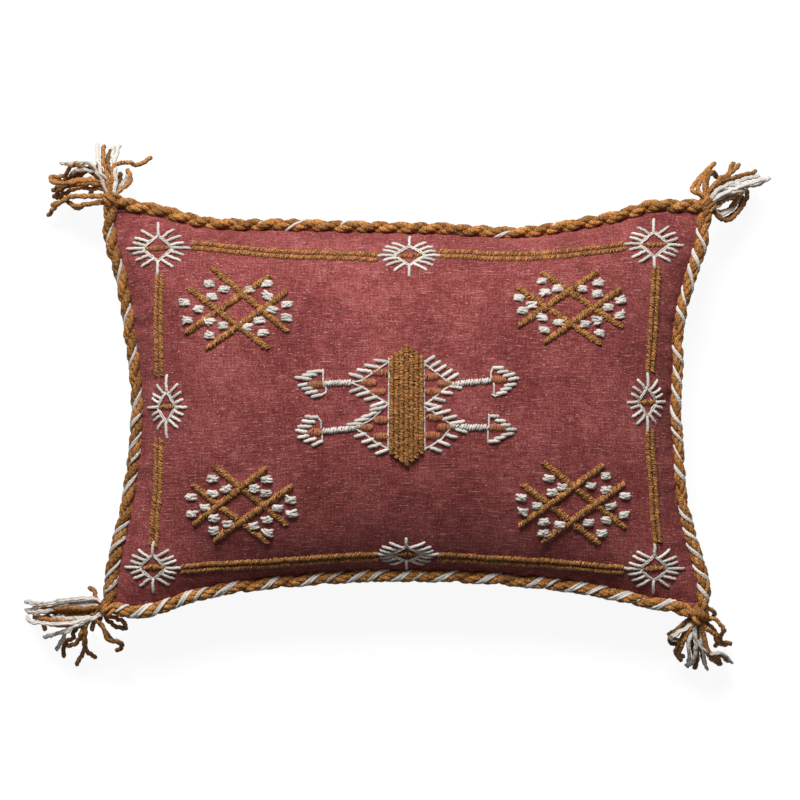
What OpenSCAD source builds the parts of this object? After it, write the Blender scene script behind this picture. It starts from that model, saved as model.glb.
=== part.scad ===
// Lumbar throw pillow lying on its back panel: embroidered cotton cover with a zip, plaited edge
// cord, four corner tassels and a polyester insert. X is the long side, +Y the top edge, +Z up.
// Units are millimetres. The origin is the middle of the flat patch that the pillow rests on.

/* [Cover] */
// Half of the cover's length, from the middle to a corner
half_length = 293; // [250:1:320]
// Half of the cover's height, from the middle to a corner
half_height = 197; // [150:1:240]
// How far the short edges draw in at their middles
sag_x = 29; // [5:1:45]
// How far the long edges draw in at their middles
sag_y = 28; // [5:1:45]
// How far the middle of the pillow is bowed up towards the top edge
bow_mid = 3.5; // [0:0.5:10]
// How far the corners are bowed down from the middle
bow = 7; // [0:0.5:15]
// Height of the edge seam above the floor, at the middles of the edges
seam_height = 58; // [40:1:75]
// How much lower the seam lies at the corners
corner_droop = 10; // [0:1:20]
// Rise of the front panel above the seam
front_rise = 67; // [40:1:90]
// Depth of the back panel below the seam, before the floor flattens it
back_drop = 66; // [40:1:90]
// Thickness of the cover's woven cotton, with its seam allowances
cover_t = 1.2; // [0.6:0.1:2.5]

/* [Insert] */
// Gap and padding between the cover's outside and the insert's casing
insert_inset = 8; // [6:0.5:14]
// Thickness of the insert's casing
casing_t = 0.8; // [0.5:0.1:2]

/* [Edge cord] */
// Radius of the plaited cord
cord_r = 6; // [4:0.5:9]
// Clear gap between a cord and the seam, and between a cord's end and a knot
clear_gap = 0.4; // [0.3:0.1:1]

/* [Tassels] */
// Radius of the knot at each corner
knot_r = 7.5; // [5:0.5:10]
// Radius of one mustard strand
strand_r = 2.2; // [1:0.1:4]
// Radius of one white strand
white_strand_r = 1.5; // [0.8:0.1:3]
// Height of the strands' tips above the floor
tip_z = 4; // [3:0.5:20]

/* [Zip] */
// Distance of the zip from the middle, towards the bottom edge
zip_offset = 145; // [130:1:150]
// Length of the zip's opening
zip_length = 350; // [250:5:360]
// Distance from one tooth to the next
tooth_pitch = 3.5; // [2.5:0.5:6]
// Length of the slider
slider_length = 12; // [8:1:16]
// Length of the pull tab, from its pin to its end
tab_length = 18; // [12:1:20]

/* [Embroidery] */
// Thickness of the stitched yarns that stand on the front panel
yarn_t = 2; // [1.2:0.1:3]

/* [Hidden] */

// colours: rose cotton, mustard chenille, off-white cotton, rust satin, zip and insert
rose = [0.53, 0.29, 0.27];
mustard = [0.62, 0.41, 0.17];
offwhite = [0.86, 0.83, 0.78];
rust = [0.72, 0.36, 0.22];
zip_tape_colour = [0.45, 0.24, 0.23];
brass = [0.78, 0.62, 0.32];
calico = [0.93, 0.92, 0.9];

// grid steps across the panels, and the squareness of the crown along each direction
rows = 14;
crown_x = 2.6;
crown_y = 2;
crown_p = 0.5;
// half of the gap between the front and back panels' rims
rim_gap = 0.2;

// ---- the pillow's surface. u and v run from -1 to 1 over the cover, i is an inset ----
function crown(u, v) = pow(max(0, 1 - pow(abs(u), crown_x)), crown_p)
    * pow(max(0, 1 - pow(abs(v), crown_y)), crown_p);
function px(u, v, i) = u * (half_length - i - sag_x * (1 - v * v));
function bow_y(u) = bow_mid - bow * u * u;
function py(u, v, i) = v * (half_height - i - sag_y * (1 - u * u)) + bow_y(u);
function seam_z(u, v) = seam_height - corner_droop * u * u * v * v;
function front_z(u, v, i) = seam_z(u, v) + rim_gap + (front_rise - i) * crown(u, v);
function back_free_z(u, v, i) = max(i, seam_z(u, v) - rim_gap - (back_drop - i) * crown(u, v));
function step01(t) = let(s = min(1, max(0, t))) s * s * (3 - 2 * s);

// ---- the straight band that the zip lies on ----
zip_y = -zip_offset;
mid_edge = half_height - sag_y;
zip_v = (zip_offset + bow_mid) / mid_edge;
zip_z = back_free_z(0, zip_v, 0);
slope_step = 2;
zip_tan = (back_free_z(0, zip_v + slope_step / mid_edge, 0)
    - back_free_z(0, zip_v - slope_step / mid_edge, 0)) / (2 * slope_step);
zip_angle = atan(zip_tan);
// the band fades into the round of the pillow past its ends and its sides
band_end = zip_length / 2 + 12;
band_fade_x = 50;
band_half = 13;
band_fade_y = 14;
slot_half = 5.2;
slot_y = slot_half * cos(zip_angle);
function band(x, y) = step01((band_end + band_fade_x - abs(x)) / band_fade_x)
    * step01((band_half + band_fade_y - abs(y - zip_y)) / band_fade_y);
function plane_z(y, i) = zip_z + (zip_y - y) * zip_tan + i / cos(zip_angle);
function back_z(u, v, i) = let(y = py(u, v, i), w = band(px(u, v, i), y))
    back_free_z(u, v, i) * (1 - w) + plane_z(y, i) * w;

// columns: evenly spread, with a close pair at each end of the zip's slot
slot_u = (zip_length / 2 + 6) / (half_length - sag_x * (1 - pow(zip_v, 2)));
cols = [-1, -0.985, -0.95, -0.88, -0.79, -0.7, -slot_u - 0.008, -slot_u, -0.54, -0.45, -0.36,
    -0.27, -0.18, -0.09, 0, 0.09, 0.18, 0.27, 0.36, 0.45, 0.54, slot_u, slot_u + 0.008,
    0.7, 0.79, 0.88, 0.95, 0.985, 1];
// rows crowd towards both rims, where the surface is steep
function spread(k, n) = -cos(180 * k / n);

// slot edge at column u: half the slot inside its ends, a closed seam outside them
function slot_at(u) = abs(u) <= slot_u + 0.001 ? slot_y : rim_gap;
// v on the slot's edge, on the side s of the zip
function slot_v(u, s, i) = (zip_y + s * slot_at(u) - bow_y(u))
    / (half_height - i - sag_y * (1 - u * u));
// v of row k: whole height, above the zip or below it
function row_v(part, u, k, i) = let(t = (spread(k, rows) + 1) / 2)
    part == "whole" ? 2 * t - 1
    : part == "upper" ? let(a = slot_v(u, 1, i), b = a + (band_half - slot_y) / mid_edge)
        k == 0 ? a : b + (1 - b) * sin(90 * (k - 1) / (rows - 1))
    : let(b = slot_v(u, -1, i)) -1 + (b + 1) * (1 - cos(90 * k / rows));
function front_point(u, v, i) = [px(u, v, i), py(u, v, i), front_z(u, v, i)];
function back_point(u, v, i) = [px(u, v, i), py(u, v, i), back_z(u, v, i)];
function sheet_points(part, front, i) = [for (u = cols) for (k = [0:rows])
    let(v = row_v(part, u, k, i)) front ? front_point(u, v, i) : back_point(u, v, i)];

// triangles of a grid of columns by rows; flip turns them over
function grid_faces(nc, nr, o, flip) = [for (a = [0:nc - 2]) for (b = [0:nr - 2])
    let(p = o + a * nr + b, q = p + nr) each flip ? [[p, p + 1, q + 1], [p, q + 1, q]]
        : [[p, q + 1, p + 1], [p, q, q + 1]]];
// the closed rim between two grids that are o points apart
function rim_loop(nc, nr) = concat([for (a = [0:nc - 1]) a * nr],
    [for (b = [1:nr - 1]) (nc - 1) * nr + b],
    [for (a = [nc - 2:-1:0]) a * nr + nr - 1], [for (b = [nr - 2:-1:1]) b]);
function rim_faces(nc, nr, o, flip) = let(l = rim_loop(nc, nr), n = len(l))
    [for (j = [0:n - 1]) let(a = l[j], b = l[(j + 1) % n])
        each flip ? [[a, a + o, b + o], [a, b + o, b]] : [[a, b + o, a + o], [a, b, b + o]]];

// a thin sheet between the insets i and i + t of one side of the pillow
module sheet(part, front, i, t) {
    nc = len(cols);
    nr = rows + 1;
    o = nc * nr;
    points = concat(sheet_points(part, front, i), sheet_points(part, front, i + t));
    polyhedron(points, concat(grid_faces(nc, nr, 0, front), grid_faces(nc, nr, o, !front),
        rim_faces(nc, nr, o, !front)));
}

// a solid between the front and back surfaces at inset i
module cushion(i) {
    nc = len(cols);
    nr = rows + 1;
    o = nc * nr;
    points = concat(sheet_points("whole", true, i), sheet_points("whole", false, i));
    polyhedron(points, concat(grid_faces(nc, nr, 0, true), grid_faces(nc, nr, o, false),
        rim_faces(nc, nr, o, false)));
}

// ---- cover ----
module front_panel() {
    color(rose)
        sheet("whole", true, 0, cover_t);
}

module back_panel() {
    color(rose)
        sheet("upper", false, 0, cover_t);
}

module back_panel_lower() {
    color(rose)
        sheet("lower", false, 0, cover_t);
}

// ---- insert ----
module insert_casing_front() {
    color(calico)
        sheet("whole", true, insert_inset, casing_t);
}

module insert_casing_back() {
    color(calico)
        sheet("whole", false, insert_inset, casing_t);
}

module insert_fill() {
    color(calico)
        cushion(insert_inset + casing_t + clear_gap);
}

// ---- round tubes along a path ----
tube_sides = 8;
function unit(a) = a / norm(a);
function path_dir(p, k) = unit(p[min(k + 1, len(p) - 1)] - p[max(k - 1, 0)]);
function ring(p, k, r) = let(t = path_dir(p, k), s = unit(cross(t, [0, 0, 1])), w = cross(s, t))
    [for (j = [0:tube_sides - 1]) let(a = 360 * j / tube_sides)
        p[k] + r * (s * cos(a) + w * sin(a))];
module tube(p, r) {
    n = len(p);
    m = tube_sides;
    points = [for (k = [0:n - 1]) each ring(p, k, r)];
    side = [for (k = [0:n - 2]) for (j = [0:m - 1])
        let(a = k * m + j, b = k * m + (j + 1) % m) each [[a, a + m, b + m], [a, b + m, b]]];
    caps = [[for (j = [0:m - 1]) j], [for (j = [m - 1:-1:0]) (n - 1) * m + j]];
    polyhedron(points, concat(side, caps));
}

// ---- edge cord: it runs outside the seam, and stops short of the corner knots ----
// two gaps, because the panels' rims are made of straight steps
cord_out = cord_r + 2 * clear_gap;
knot_x = half_length + 6;
function knot_y(sy) = sy * (half_height + 7) + bow_y(1);
knot_z = seam_height - corner_droop;
cord_steps = 28;
// the cord's ends keep this share of the edge clear at each corner
cord_trim_x = (knot_r + cord_r + 6) / half_length;
cord_trim_y = (knot_r + cord_r + 6) / half_height;
// a cord's middle line: the seam, moved square to itself in plan
function long_edge(s, u) = [px(u, 1, 0), py(u, s, 0), seam_z(u, 1)]
    + cord_out * unit([2 * u * (s * bow - sag_y), s * half_length, 0]);
function short_edge(s, v) = [s * px(1, v, 0), py(1, v, 0), seam_z(1, v)]
    + cord_out * unit([s * half_height, -2 * sag_x * v, 0]);
module long_cord(s) {
    e = 1 - cord_trim_x;
    tube([for (k = [0:cord_steps]) long_edge(s, -e + 2 * e * k / cord_steps)], cord_r);
}
module short_cord(s) {
    e = 1 - cord_trim_y;
    tube([for (k = [0:cord_steps]) short_edge(s, -e + 2 * e * k / cord_steps)], cord_r);
}
module edge_cord_top() {
    color(mustard)
        long_cord(1);
}
module edge_cord_bottom() {
    color(mustard)
        long_cord(-1);
}
module edge_cord_right() {
    color(mustard)
        short_cord(1);
}
module edge_cord_left() {
    color(mustard)
        short_cord(-1);
}

// ---- corner tassels: each swings on a level axis across its corner ----
binding_r = 4;
binding_length = 19;
module knot(sx, sy) {
    translate([sx * knot_x, knot_y(sy), knot_z]) {
        sphere(r = knot_r, $fn = 32);
        rotate([0, 0, -45 * sx * sy])
            rotate([0, 90, 0])
                cylinder(r = binding_r, h = binding_length, center = true, $fn = 32);
    }
}
// one strand leaves the knot outwards, arches over and drops to the floor at its tip
strand_steps = 5;
strand_sides = 6;
function strand_path(sx, sy, tip) = let(a = [sx * knot_x, knot_y(sy), knot_z],
    m = [a[0] + (tip[0] - a[0]) * 0.55, a[1] + (tip[1] - a[1]) * 0.55, knot_z - 6],
    b = [tip[0], tip[1], tip_z])
    [for (k = [0:strand_steps]) let(t = k / strand_steps)
        a * pow(1 - t, 2) + m * 2 * t * (1 - t) + b * t * t];
module skein(sx, sy, tips, r) {
    for (tip = tips)
        let(p = strand_path(sx, sy, tip))
            for (k = [0:strand_steps - 1])
                hull() {
                    translate(p[k])
                        sphere(r = r, $fn = strand_sides);
                    translate(p[k + 1])
                        sphere(r = r, $fn = strand_sides);
                }
}
// where the strands' tips lie, corner by corner
mustard_tips_tl = [[-356, 228], [-358, 194], [-306, 259], [-260, 247], [-334, 240]];
mustard_tips_tr = [[312, 244], [351, 234], [334, 242], [338, 200]];
mustard_tips_bl = [[-346, -251], [-316, -253], [-286, -226], [-376, -210]];
mustard_tips_br = [[291, -262], [304, -262], [326, -240], [270, -236]];
white_tips_tl = [[-311, 261], [-348, 243], [-296, 257]];
white_tips_tr = [[363, 229], [330, 222]];
white_tips_bl = [[-380, -200], [-364, -234], [-354, -244], [-294, -244]];
white_tips_br = [[325, -256], [284, -258], [330, -222]];

module knot_top_left() {
    color(mustard)
        knot(-1, 1);
}
module knot_top_right() {
    color(mustard)
        knot(1, 1);
}
module knot_bottom_left() {
    color(mustard)
        knot(-1, -1);
}
module knot_bottom_right() {
    color(mustard)
        knot(1, -1);
}
module mustard_skein_top_left() {
    color(mustard)
        skein(-1, 1, mustard_tips_tl, strand_r);
}
module mustard_skein_top_right() {
    color(mustard)
        skein(1, 1, mustard_tips_tr, strand_r);
}
module mustard_skein_bottom_left() {
    color(mustard)
        skein(-1, -1, mustard_tips_bl, strand_r);
}
module mustard_skein_bottom_right() {
    color(mustard)
        skein(1, -1, mustard_tips_br, strand_r);
}
module white_skein_top_left() {
    color(offwhite)
        skein(-1, 1, white_tips_tl, white_strand_r);
}
module white_skein_top_right() {
    color(offwhite)
        skein(1, 1, white_tips_tr, white_strand_r);
}
module white_skein_bottom_left() {
    color(offwhite)
        skein(-1, -1, white_tips_bl, white_strand_r);
}
module white_skein_bottom_right() {
    color(offwhite)
        skein(1, -1, white_tips_br, white_strand_r);
}

// ---- zip, drawn flat: x along it, y towards the bottom edge, z out of the pillow ----
module on_zip() {
    translate([0, zip_y, zip_z])
        rotate([180 - zip_angle, 0, 0])
            children();
}
tape_inner = 2.4;
tape_outer = 12;
tape_t = 0.6;
// middle of the chain of teeth, under the panels' edges
chain_z = -2.3;
tooth_inner = 0.8;
tooth_outer = 3.6;
tooth_h = 2.4;
tooth_w = 1.9;
bead_r = 0.7;
chain_half = zip_length / 2 - 4;
tooth_count = floor(2 * chain_half / tooth_pitch);
// where the slider is at rest, at the closed end
slider_x = chain_half - slider_length / 2 - 3;

module tape(s) {
    on_zip()
        translate([-zip_length / 2 - 5, s > 0 ? tape_inner : -tape_outer, chain_z - tape_t / 2])
            cube([zip_length + 10, tape_outer - tape_inner, tape_t]);
}
module teeth(s) {
    on_zip()
        for (k = [0:tooth_count - 1])
            translate([-chain_half + (k + (s > 0 ? 0.25 : 0.75)) * tooth_pitch - tooth_w / 2,
                s > 0 ? tooth_inner : -tooth_outer, chain_z - tooth_h / 2])
                cube([tooth_w, tooth_outer - tooth_inner, tooth_h]);
    on_zip()
        translate([-chain_half, s * (tooth_outer - 1), chain_z])
            rotate([0, 90, 0])
                cylinder(r = bead_r, h = 2 * chain_half, $fn = 16);
}
module zip_tape_upper() {
    color(zip_tape_colour)
        tape(-1);
}
module zip_tape_lower() {
    color(zip_tape_colour)
        tape(1);
}
module zip_teeth_upper() {
    color(brass)
        teeth(-1);
}
module zip_teeth_lower() {
    color(brass)
        teeth(1);
}
// a bar stop past each end of the teeth
stop_w = 2.4;
module zip_stops() {
    color(brass)
        on_zip()
            for (s = [-1, 1])
                translate([s * (chain_half + 2) - stop_w / 2, -tooth_outer, chain_z - tooth_h / 2])
                    cube([stop_w, 2 * tooth_outer, tooth_h]);
}
// the slider's outer and inner plates, and the web between the two rows of teeth
plate_t = 1.2;
plate_half = 4.6;
plate_z = 0.1;
inner_plate_z = chain_z - tooth_h / 2 - clear_gap - plate_t;
web_half = 0.4;
pin_r = 0.9;
pin_z = plate_z + plate_t + 2.3;
ear_t = 0.8;
ear_in = 2.1;
ear_half = 1.8;
module zip_slider() {
    color(brass)
        on_zip()
            translate([slider_x, 0, 0]) {
                translate([-slider_length / 2, -plate_half, plate_z])
                    cube([slider_length, 2 * plate_half, plate_t]);
                translate([-slider_length / 2, -plate_half, inner_plate_z])
                    cube([slider_length, 2 * plate_half, plate_t]);
                translate([-slider_length / 4, -web_half, inner_plate_z])
                    cube([slider_length / 2, 2 * web_half, plate_z + plate_t - inner_plate_z]);
                for (s = [-1, 1])
                    translate([-ear_half, s > 0 ? ear_in : -ear_in - ear_t, plate_z])
                        cube([2 * ear_half, ear_t, pin_z - plate_z + 1.5]);
                translate([0, 0, pin_z])
                    rotate([90, 0, 0])
                        cylinder(r = pin_r, h = 2 * ear_in + ear_t, center = true, $fn = 24);
            }
}
// the tab hangs from the slider's pin: an eye, a neck and a wider grip with a hole
eye_r = 2;
eye_hole = pin_r + 0.06;
eye_half = 1.7;
tab_t = 1.2;
grip_half = 3.4;
neck_length = 5.5;
grip_hole_r = 1.6;
module zip_pull_tab() {
    color(brass)
        on_zip()
            translate([slider_x, 0, pin_z])
                difference() {
                    union() {
                        rotate([90, 0, 0])
                            cylinder(r = eye_r, h = 2 * eye_half, center = true, $fn = 24);
                        translate([-tab_t / 2, -eye_half, 0])
                            cube([tab_t, 2 * eye_half, neck_length + 1]);
                        translate([-tab_t / 2, -grip_half, neck_length])
                            cube([tab_t, 2 * grip_half, tab_length - neck_length]);
                    }
                    rotate([90, 0, 0])
                        cylinder(r = eye_hole, h = 4 * eye_half, center = true, $fn = 24);
                    translate([0, 0, tab_length - 3.5])
                        rotate([0, 90, 0])
                            cylinder(r = grip_hole_r, h = 4 * tab_t, center = true, $fn = 24);
                }
}

// ---- embroidery: yarns laid on the front panel ----
function inverse(x, y, u, v, n) = n == 0 ? [u, v]
    : let(a = x / (half_length - sag_x * (1 - v * v)), b = (y - bow_y(u)) / (half_height - sag_y * (1 - u * u)))
        inverse(x, y, a, b, n - 1);
function front_height(x, y) = let(q = inverse(x, y, x / half_length, y / half_height, 5))
    front_z(q[0], q[1], 0);
// puts a flat child on the front panel at x, y, turned by a degrees and tipped to the slope
slope_reach = 3;
function slope_x(x, y) = (front_height(x + slope_reach, y) - front_height(x - slope_reach, y))
    / (2 * slope_reach);
function slope_y(x, y) = (front_height(x, y + slope_reach) - front_height(x, y - slope_reach))
    / (2 * slope_reach);
module on_front(x, y, a) {
    translate([x, y, front_height(x, y)])
        rotate([atan(slope_y(x, y)), -atan(slope_x(x, y)), 0])
            rotate([0, 0, a])
                children();
}
// how much of a yarn is pressed into the cloth
yarn_sink = 0.7;
module yarn(x, y, a, length, width) {
    on_front(x, y, a)
        translate([-length / 2, -width / 2, -yarn_sink])
            cube([length, width, yarn_t]);
}
// a run of stitches from p to q, about reach long each
stitch_reach = 13;
module run(p, q, width) {
    n = max(1, round(norm(q - p) / stitch_reach));
    a = atan2(q[1] - p[1], q[0] - p[0]);
    for (k = [0:n - 1])
        let(m = p + (q - p) * (k + 0.5) / n)
            yarn(m[0], m[1], a, norm(q - p) / n - 0.6, width);
}

// eight stars: the corners and the middles of the border
star_centres = [[-245, 157], [2, 150], [252, 160], [-243, -2], [245, 2],
    [-253, -160], [-2, -145], [250, -163]];
star_half_x = 15;
star_half_y = 10;
ray_length = 12;
ray_width = 3.2;
rays_a_side = 4;
// angles of the four sides' stitches
ray_angles = [62, 118, 242, 298];
module star(c) {
    for (q = [0:3])
        for (k = [0:rays_a_side - 1])
            let(t = (k + 0.5) / rays_a_side, sx = (q == 0 || q == 3) ? 1 : -1,
                sy = q < 2 ? 1 : -1,
                x = c[0] + sx * star_half_x * (1 - t) * 1.3,
                y = c[1] + sy * star_half_y * (0.45 + t) * 1.05)
                yarn(x, y, ray_angles[q] + sx * sy * (t - 0.5) * 30, ray_length, ray_width);
}
module star_rays() {
    color(offwhite)
        for (c = star_centres)
            star(c);
}
bar_length = 24;
bar_width = 4.5;
module star_bars() {
    color(mustard)
        for (c = star_centres)
            yarn(c[0], c[1], 0, bar_length, bar_width);
}

// the double line between the stars
border_gap = 5.6;
border_width = 3.4;
border_runs = [[[-215, 160], [-124, 151]], [[-124, 151], [-32, 148]], [[36, 150], [130, 149]],
    [[130, 149], [218, 158]], [[-247, 127], [-250, 33]], [[-247, -37], [-253, -138]],
    [[250, 135], [244, 36]], [[244, -29], [251, -136]], [[-223, -164], [-30, -150]],
    [[33, -150], [216, -164]]];
module border_lines() {
    color(mustard)
        for (r = border_runs)
            let(d = unit(r[1] - r[0]), w = [-d[1], d[0]] * border_gap / 2) {
                run(r[0] + w, r[1] + w, border_width);
                run(r[0] - w, r[1] - w, border_width);
            }
}

// four lattices: two bars each way, and white knot stitches round them
lattice_centres = [[-170, 97], [165, 99], [-167, -101], [168, -100]];
lattice_bar = 102;
lattice_width = 7;
lattice_shift_x = 12;
lattice_shift_y = 9;
lattice_angle = 37;
module lattice_bars() {
    color(mustard)
        for (c = lattice_centres)
            for (s = [-1, 1])
                for (m = [-1, 1])
                    let(o = c + [lattice_shift_x * s, lattice_shift_y * m * s],
                        h = lattice_bar / 2 * [cos(lattice_angle), -m * sin(lattice_angle)])
                        run(o - h, o + h, lattice_width);
}
knot_spots = [[13, 17], [27, 13], [27, 26], [36, 0], [50, 8]];
knot_stitch = [11, 7];
module lattice_knots() {
    color(offwhite)
        for (c = lattice_centres)
            for (k = knot_spots)
                for (sx = [-1, 1])
                    for (sy = k[1] == 0 ? [1] : [-1, 1])
                        yarn(c[0] + sx * k[0], c[1] + sy * k[1], 0, knot_stitch[0],
                            knot_stitch[1]);
}

// the long hexagon of looped yarn in the middle
hex_half_x = 17;
hex_half_y = 59;
hex_shoulder = 45;
hex_rows = 5;
hex_step = 2 * hex_half_x / hex_rows;
module centre_bar() {
    color(mustard)
        for (k = [0:hex_rows - 1])
            let(x = (k + 0.5 - hex_rows / 2) * hex_step,
                y = hex_half_y - (hex_half_y - hex_shoulder) * abs(x) / hex_half_x)
                run([x, -y], [x, y], hex_step - 0.8);
}

// two white diamonds each side of it, with stitches standing out of their lines
zig_points = [[18, 41], [45, 24], [21, 0], [46, -23], [18, -48]];
zig_width = 2.6;
module zigzag_lines() {
    color(offwhite)
        for (s = [-1, 1])
            for (k = [0:len(zig_points) - 2])
                let(p = [s * zig_points[k][0], zig_points[k][1]],
                    q = [s * zig_points[k + 1][0], zig_points[k + 1][1]])
                    run(p, q, zig_width);
}
branch_count = 5;
branch_length = 11;
branch_width = 3;
branch_out = 8;
module branch_stitches() {
    color(offwhite)
        for (s = [-1, 1])
            for (k = [0:len(zig_points) - 2])
                for (j = [0:branch_count - 1])
                    let(t = (j + 0.5) / branch_count,
                        m = zig_points[k] * (1 - t) + zig_points[k + 1] * t,
                        up = (k == 0 || k == 2) ? 1 : -1,
                        c = [s * (m[0] + branch_out * 0.7), m[1] + up * branch_out * 0.7])
                        yarn(c[0], c[1], s * up * 50, branch_length, branch_width);
}

// whipped arms and the crowns at their ends
arm_runs = [[[-82, 22], [-50, 22]], [[-84, -24], [-52, -24]], [[47, 22], [84, 25]],
    [[51, -22], [80, -22]]];
arm_width = 6;
module whipped_arms() {
    color(offwhite)
        for (r = arm_runs)
            run(r[0], r[1], arm_width);
}
crown_centres = [[-91, 21], [-92, -28], [93, 25], [90, -24]];
crown_angles = [-75, -45, 45, 75, 105, 135];
crown_reach = 11;
crown_length = 9;
crown_width = 3;
module crown_stitches() {
    color(offwhite)
        for (c = crown_centres)
            for (a = crown_angles)
                let(s = c[0] > 0 ? 1 : -1)
                    yarn(c[0] + s * crown_reach * cos(a), c[1] + crown_reach * sin(a),
                        s > 0 ? a : 180 - a, crown_length, crown_width);
}
rust_spots = [[-26, 33], [-37, 22], [-27, 13], [-26, -16], [-40, -23], [-26, -31],
    [25, 29], [40, 21], [26, 13], [28, -13], [39, -20], [26, -27],
    [-91, 21], [-92, -28], [93, 25], [90, -24]];
rust_stitch = [10, 7];
module rust_stitches() {
    color(rust)
        for (p = rust_spots)
            yarn(p[0], p[1], 0, rust_stitch[0], rust_stitch[1]);
}

front_panel();
back_panel();
back_panel_lower();
zip_tape_upper();
zip_tape_lower();
zip_teeth_upper();
zip_teeth_lower();
zip_stops();
zip_slider();
zip_pull_tab();
edge_cord_top();
edge_cord_right();
edge_cord_bottom();
edge_cord_left();
knot_top_left();
knot_top_right();
knot_bottom_left();
knot_bottom_right();
mustard_skein_top_left();
mustard_skein_top_right();
mustard_skein_bottom_left();
mustard_skein_bottom_right();
white_skein_top_left();
white_skein_top_right();
white_skein_bottom_left();
white_skein_bottom_right();
insert_casing_front();
insert_casing_back();
insert_fill();
border_lines();
star_rays();
star_bars();
lattice_bars();
lattice_knots();
centre_bar();
zigzag_lines();
branch_stitches();
whipped_arms();
crown_stitches();
rust_stitches();
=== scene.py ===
"""Looks of the embroidered throw pillow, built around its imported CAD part.

The pillow lies on its back panel: X is its long side, +Y its top edge and +Z up.
Shapes are worked out in millimetres, and a mesh turns them into metres when it is made.
"""

import math

import bpy
import numpy as np
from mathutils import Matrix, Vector
from mathutils.bvhtree import BVHTree


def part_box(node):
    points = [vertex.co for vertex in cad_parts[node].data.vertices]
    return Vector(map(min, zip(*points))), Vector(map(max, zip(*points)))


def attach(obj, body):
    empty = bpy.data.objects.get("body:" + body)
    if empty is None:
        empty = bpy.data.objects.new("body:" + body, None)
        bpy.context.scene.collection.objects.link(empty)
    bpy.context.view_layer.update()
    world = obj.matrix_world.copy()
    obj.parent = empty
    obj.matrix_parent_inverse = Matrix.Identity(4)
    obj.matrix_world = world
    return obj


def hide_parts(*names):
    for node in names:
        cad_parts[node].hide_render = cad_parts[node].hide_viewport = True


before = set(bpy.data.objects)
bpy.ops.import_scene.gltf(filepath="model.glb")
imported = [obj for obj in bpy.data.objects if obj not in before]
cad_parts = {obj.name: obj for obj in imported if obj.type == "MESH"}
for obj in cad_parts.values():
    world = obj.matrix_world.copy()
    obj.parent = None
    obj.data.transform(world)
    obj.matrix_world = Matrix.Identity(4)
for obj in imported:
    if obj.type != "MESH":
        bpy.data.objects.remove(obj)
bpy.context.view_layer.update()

MM = 0.001
TAU = 2 * math.pi
rng = np.random.default_rng(11)

# ---- the pillow's sizes in millimetres. The first ones come from the frame ----
panel_low, panel_high = (np.array(corner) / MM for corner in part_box("front_panel"))
HALF_LENGTH = (panel_high[0] - panel_low[0]) / 2
HALF_HEIGHT = (panel_high[1] - panel_low[1]) / 2
# how far the long edges' middles lie above their corners
BOW = -(panel_high[1] + panel_low[1])
# half the gap between the front and the back at the seam
RIM_GAP = 0.2
CORNER_DROOP = 10.0
SEAM_HEIGHT = panel_low[2] - RIM_GAP + CORNER_DROOP
FRONT_RISE = panel_high[2] - RIM_GAP - SEAM_HEIGHT
BACK_DROP = 66.0
# how far the short and the long edges' middles are drawn in
SAG_X = 29.0
SAG_Y = 28.0
SAG_POWER = 1.45
CROWN_POWER_X = 2.6
CROWN_POWER_Y = 2.0
# the front's crown is flatter towards its seam than the back's
FRONT_POWER = 1.4
CLOTH = 1.0
# the cover's flat cut, which its threads are laid out on
FLAT_LENGTH = 610.0
FLAT_HEIGHT = 406.0


# ---- the pillow's surface: u and v run from -1 to 1 over the cover, i is an inset ----
# where the seam strays from its smooth curve: the place along the edge, its half width,
# and how many millimetres outwards it strays
TOP_STRAYS = ((-0.88, 0.09, 4), (-0.64, 0.17, -5), (0.40, 0.22, -8), (0.85, 0.10, 7))
BOTTOM_STRAYS = ((-0.88, 0.12, 8), (0.85, 0.12, 3))
LEFT_STRAYS = ((0.85, 0.12, 4), (-0.78, 0.18, 4))
RIGHT_STRAYS = ((0.85, 0.10, 4), (0.45, 0.20, -5), (-0.45, 0.15, -3), (-0.87, 0.12, 4))


def strayed(at, low_side, high_side, across):
    """How far the seams at the low and high side move a point that lies across between them."""
    low, high = (
        sum(move * np.exp(-(((at - place) / half) ** 2)) for place, half, move in strays)
        for strays in (low_side, high_side)
    )
    return np.abs(across) ** 5 * np.where(across > 0, high, -low)


def outline(u, v, i=0.0):
    """Where u, v lies in plan."""
    x = u * (HALF_LENGTH - i - SAG_X * (1 - np.abs(v) ** SAG_POWER))
    y = v * (HALF_HEIGHT - i - SAG_Y * (1 - u * u)) + BOW / 2 - BOW * u * u
    return x + strayed(v, LEFT_STRAYS, RIGHT_STRAYS, u), y + strayed(u, BOTTOM_STRAYS, TOP_STRAYS, v)


def crown(u, v):
    """Share of the full rise at u, v: 0 at the seam, 1 in the middle."""
    along = np.clip(1 - np.abs(u) ** CROWN_POWER_X, 0, None)
    across = np.clip(1 - np.abs(v) ** CROWN_POWER_Y, 0, None)
    return np.sqrt(along * across)


def seam_z(u, v):
    """Height of the seam, which droops at the corners."""
    return SEAM_HEIGHT - CORNER_DROOP * u * u * v * v


def front_point(u, v, i=0.0):
    """A point of the front's plain shape."""
    x, y = outline(u, v, i)
    return np.stack([x, y, seam_z(u, v) + RIM_GAP + (FRONT_RISE - i) * crown(u, v) ** FRONT_POWER], -1)


def free_back_z(u, v, i=0.0):
    """Height of the back's plain shape without its zip band, flat where it rests on the floor."""
    return np.maximum(i, seam_z(u, v) - RIM_GAP - (BACK_DROP - i) * crown(u, v))


def ease(t):
    """A smooth step from 0 to 1."""
    t = np.clip(t, 0, 1)
    return t * t * (3 - 2 * t)


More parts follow.
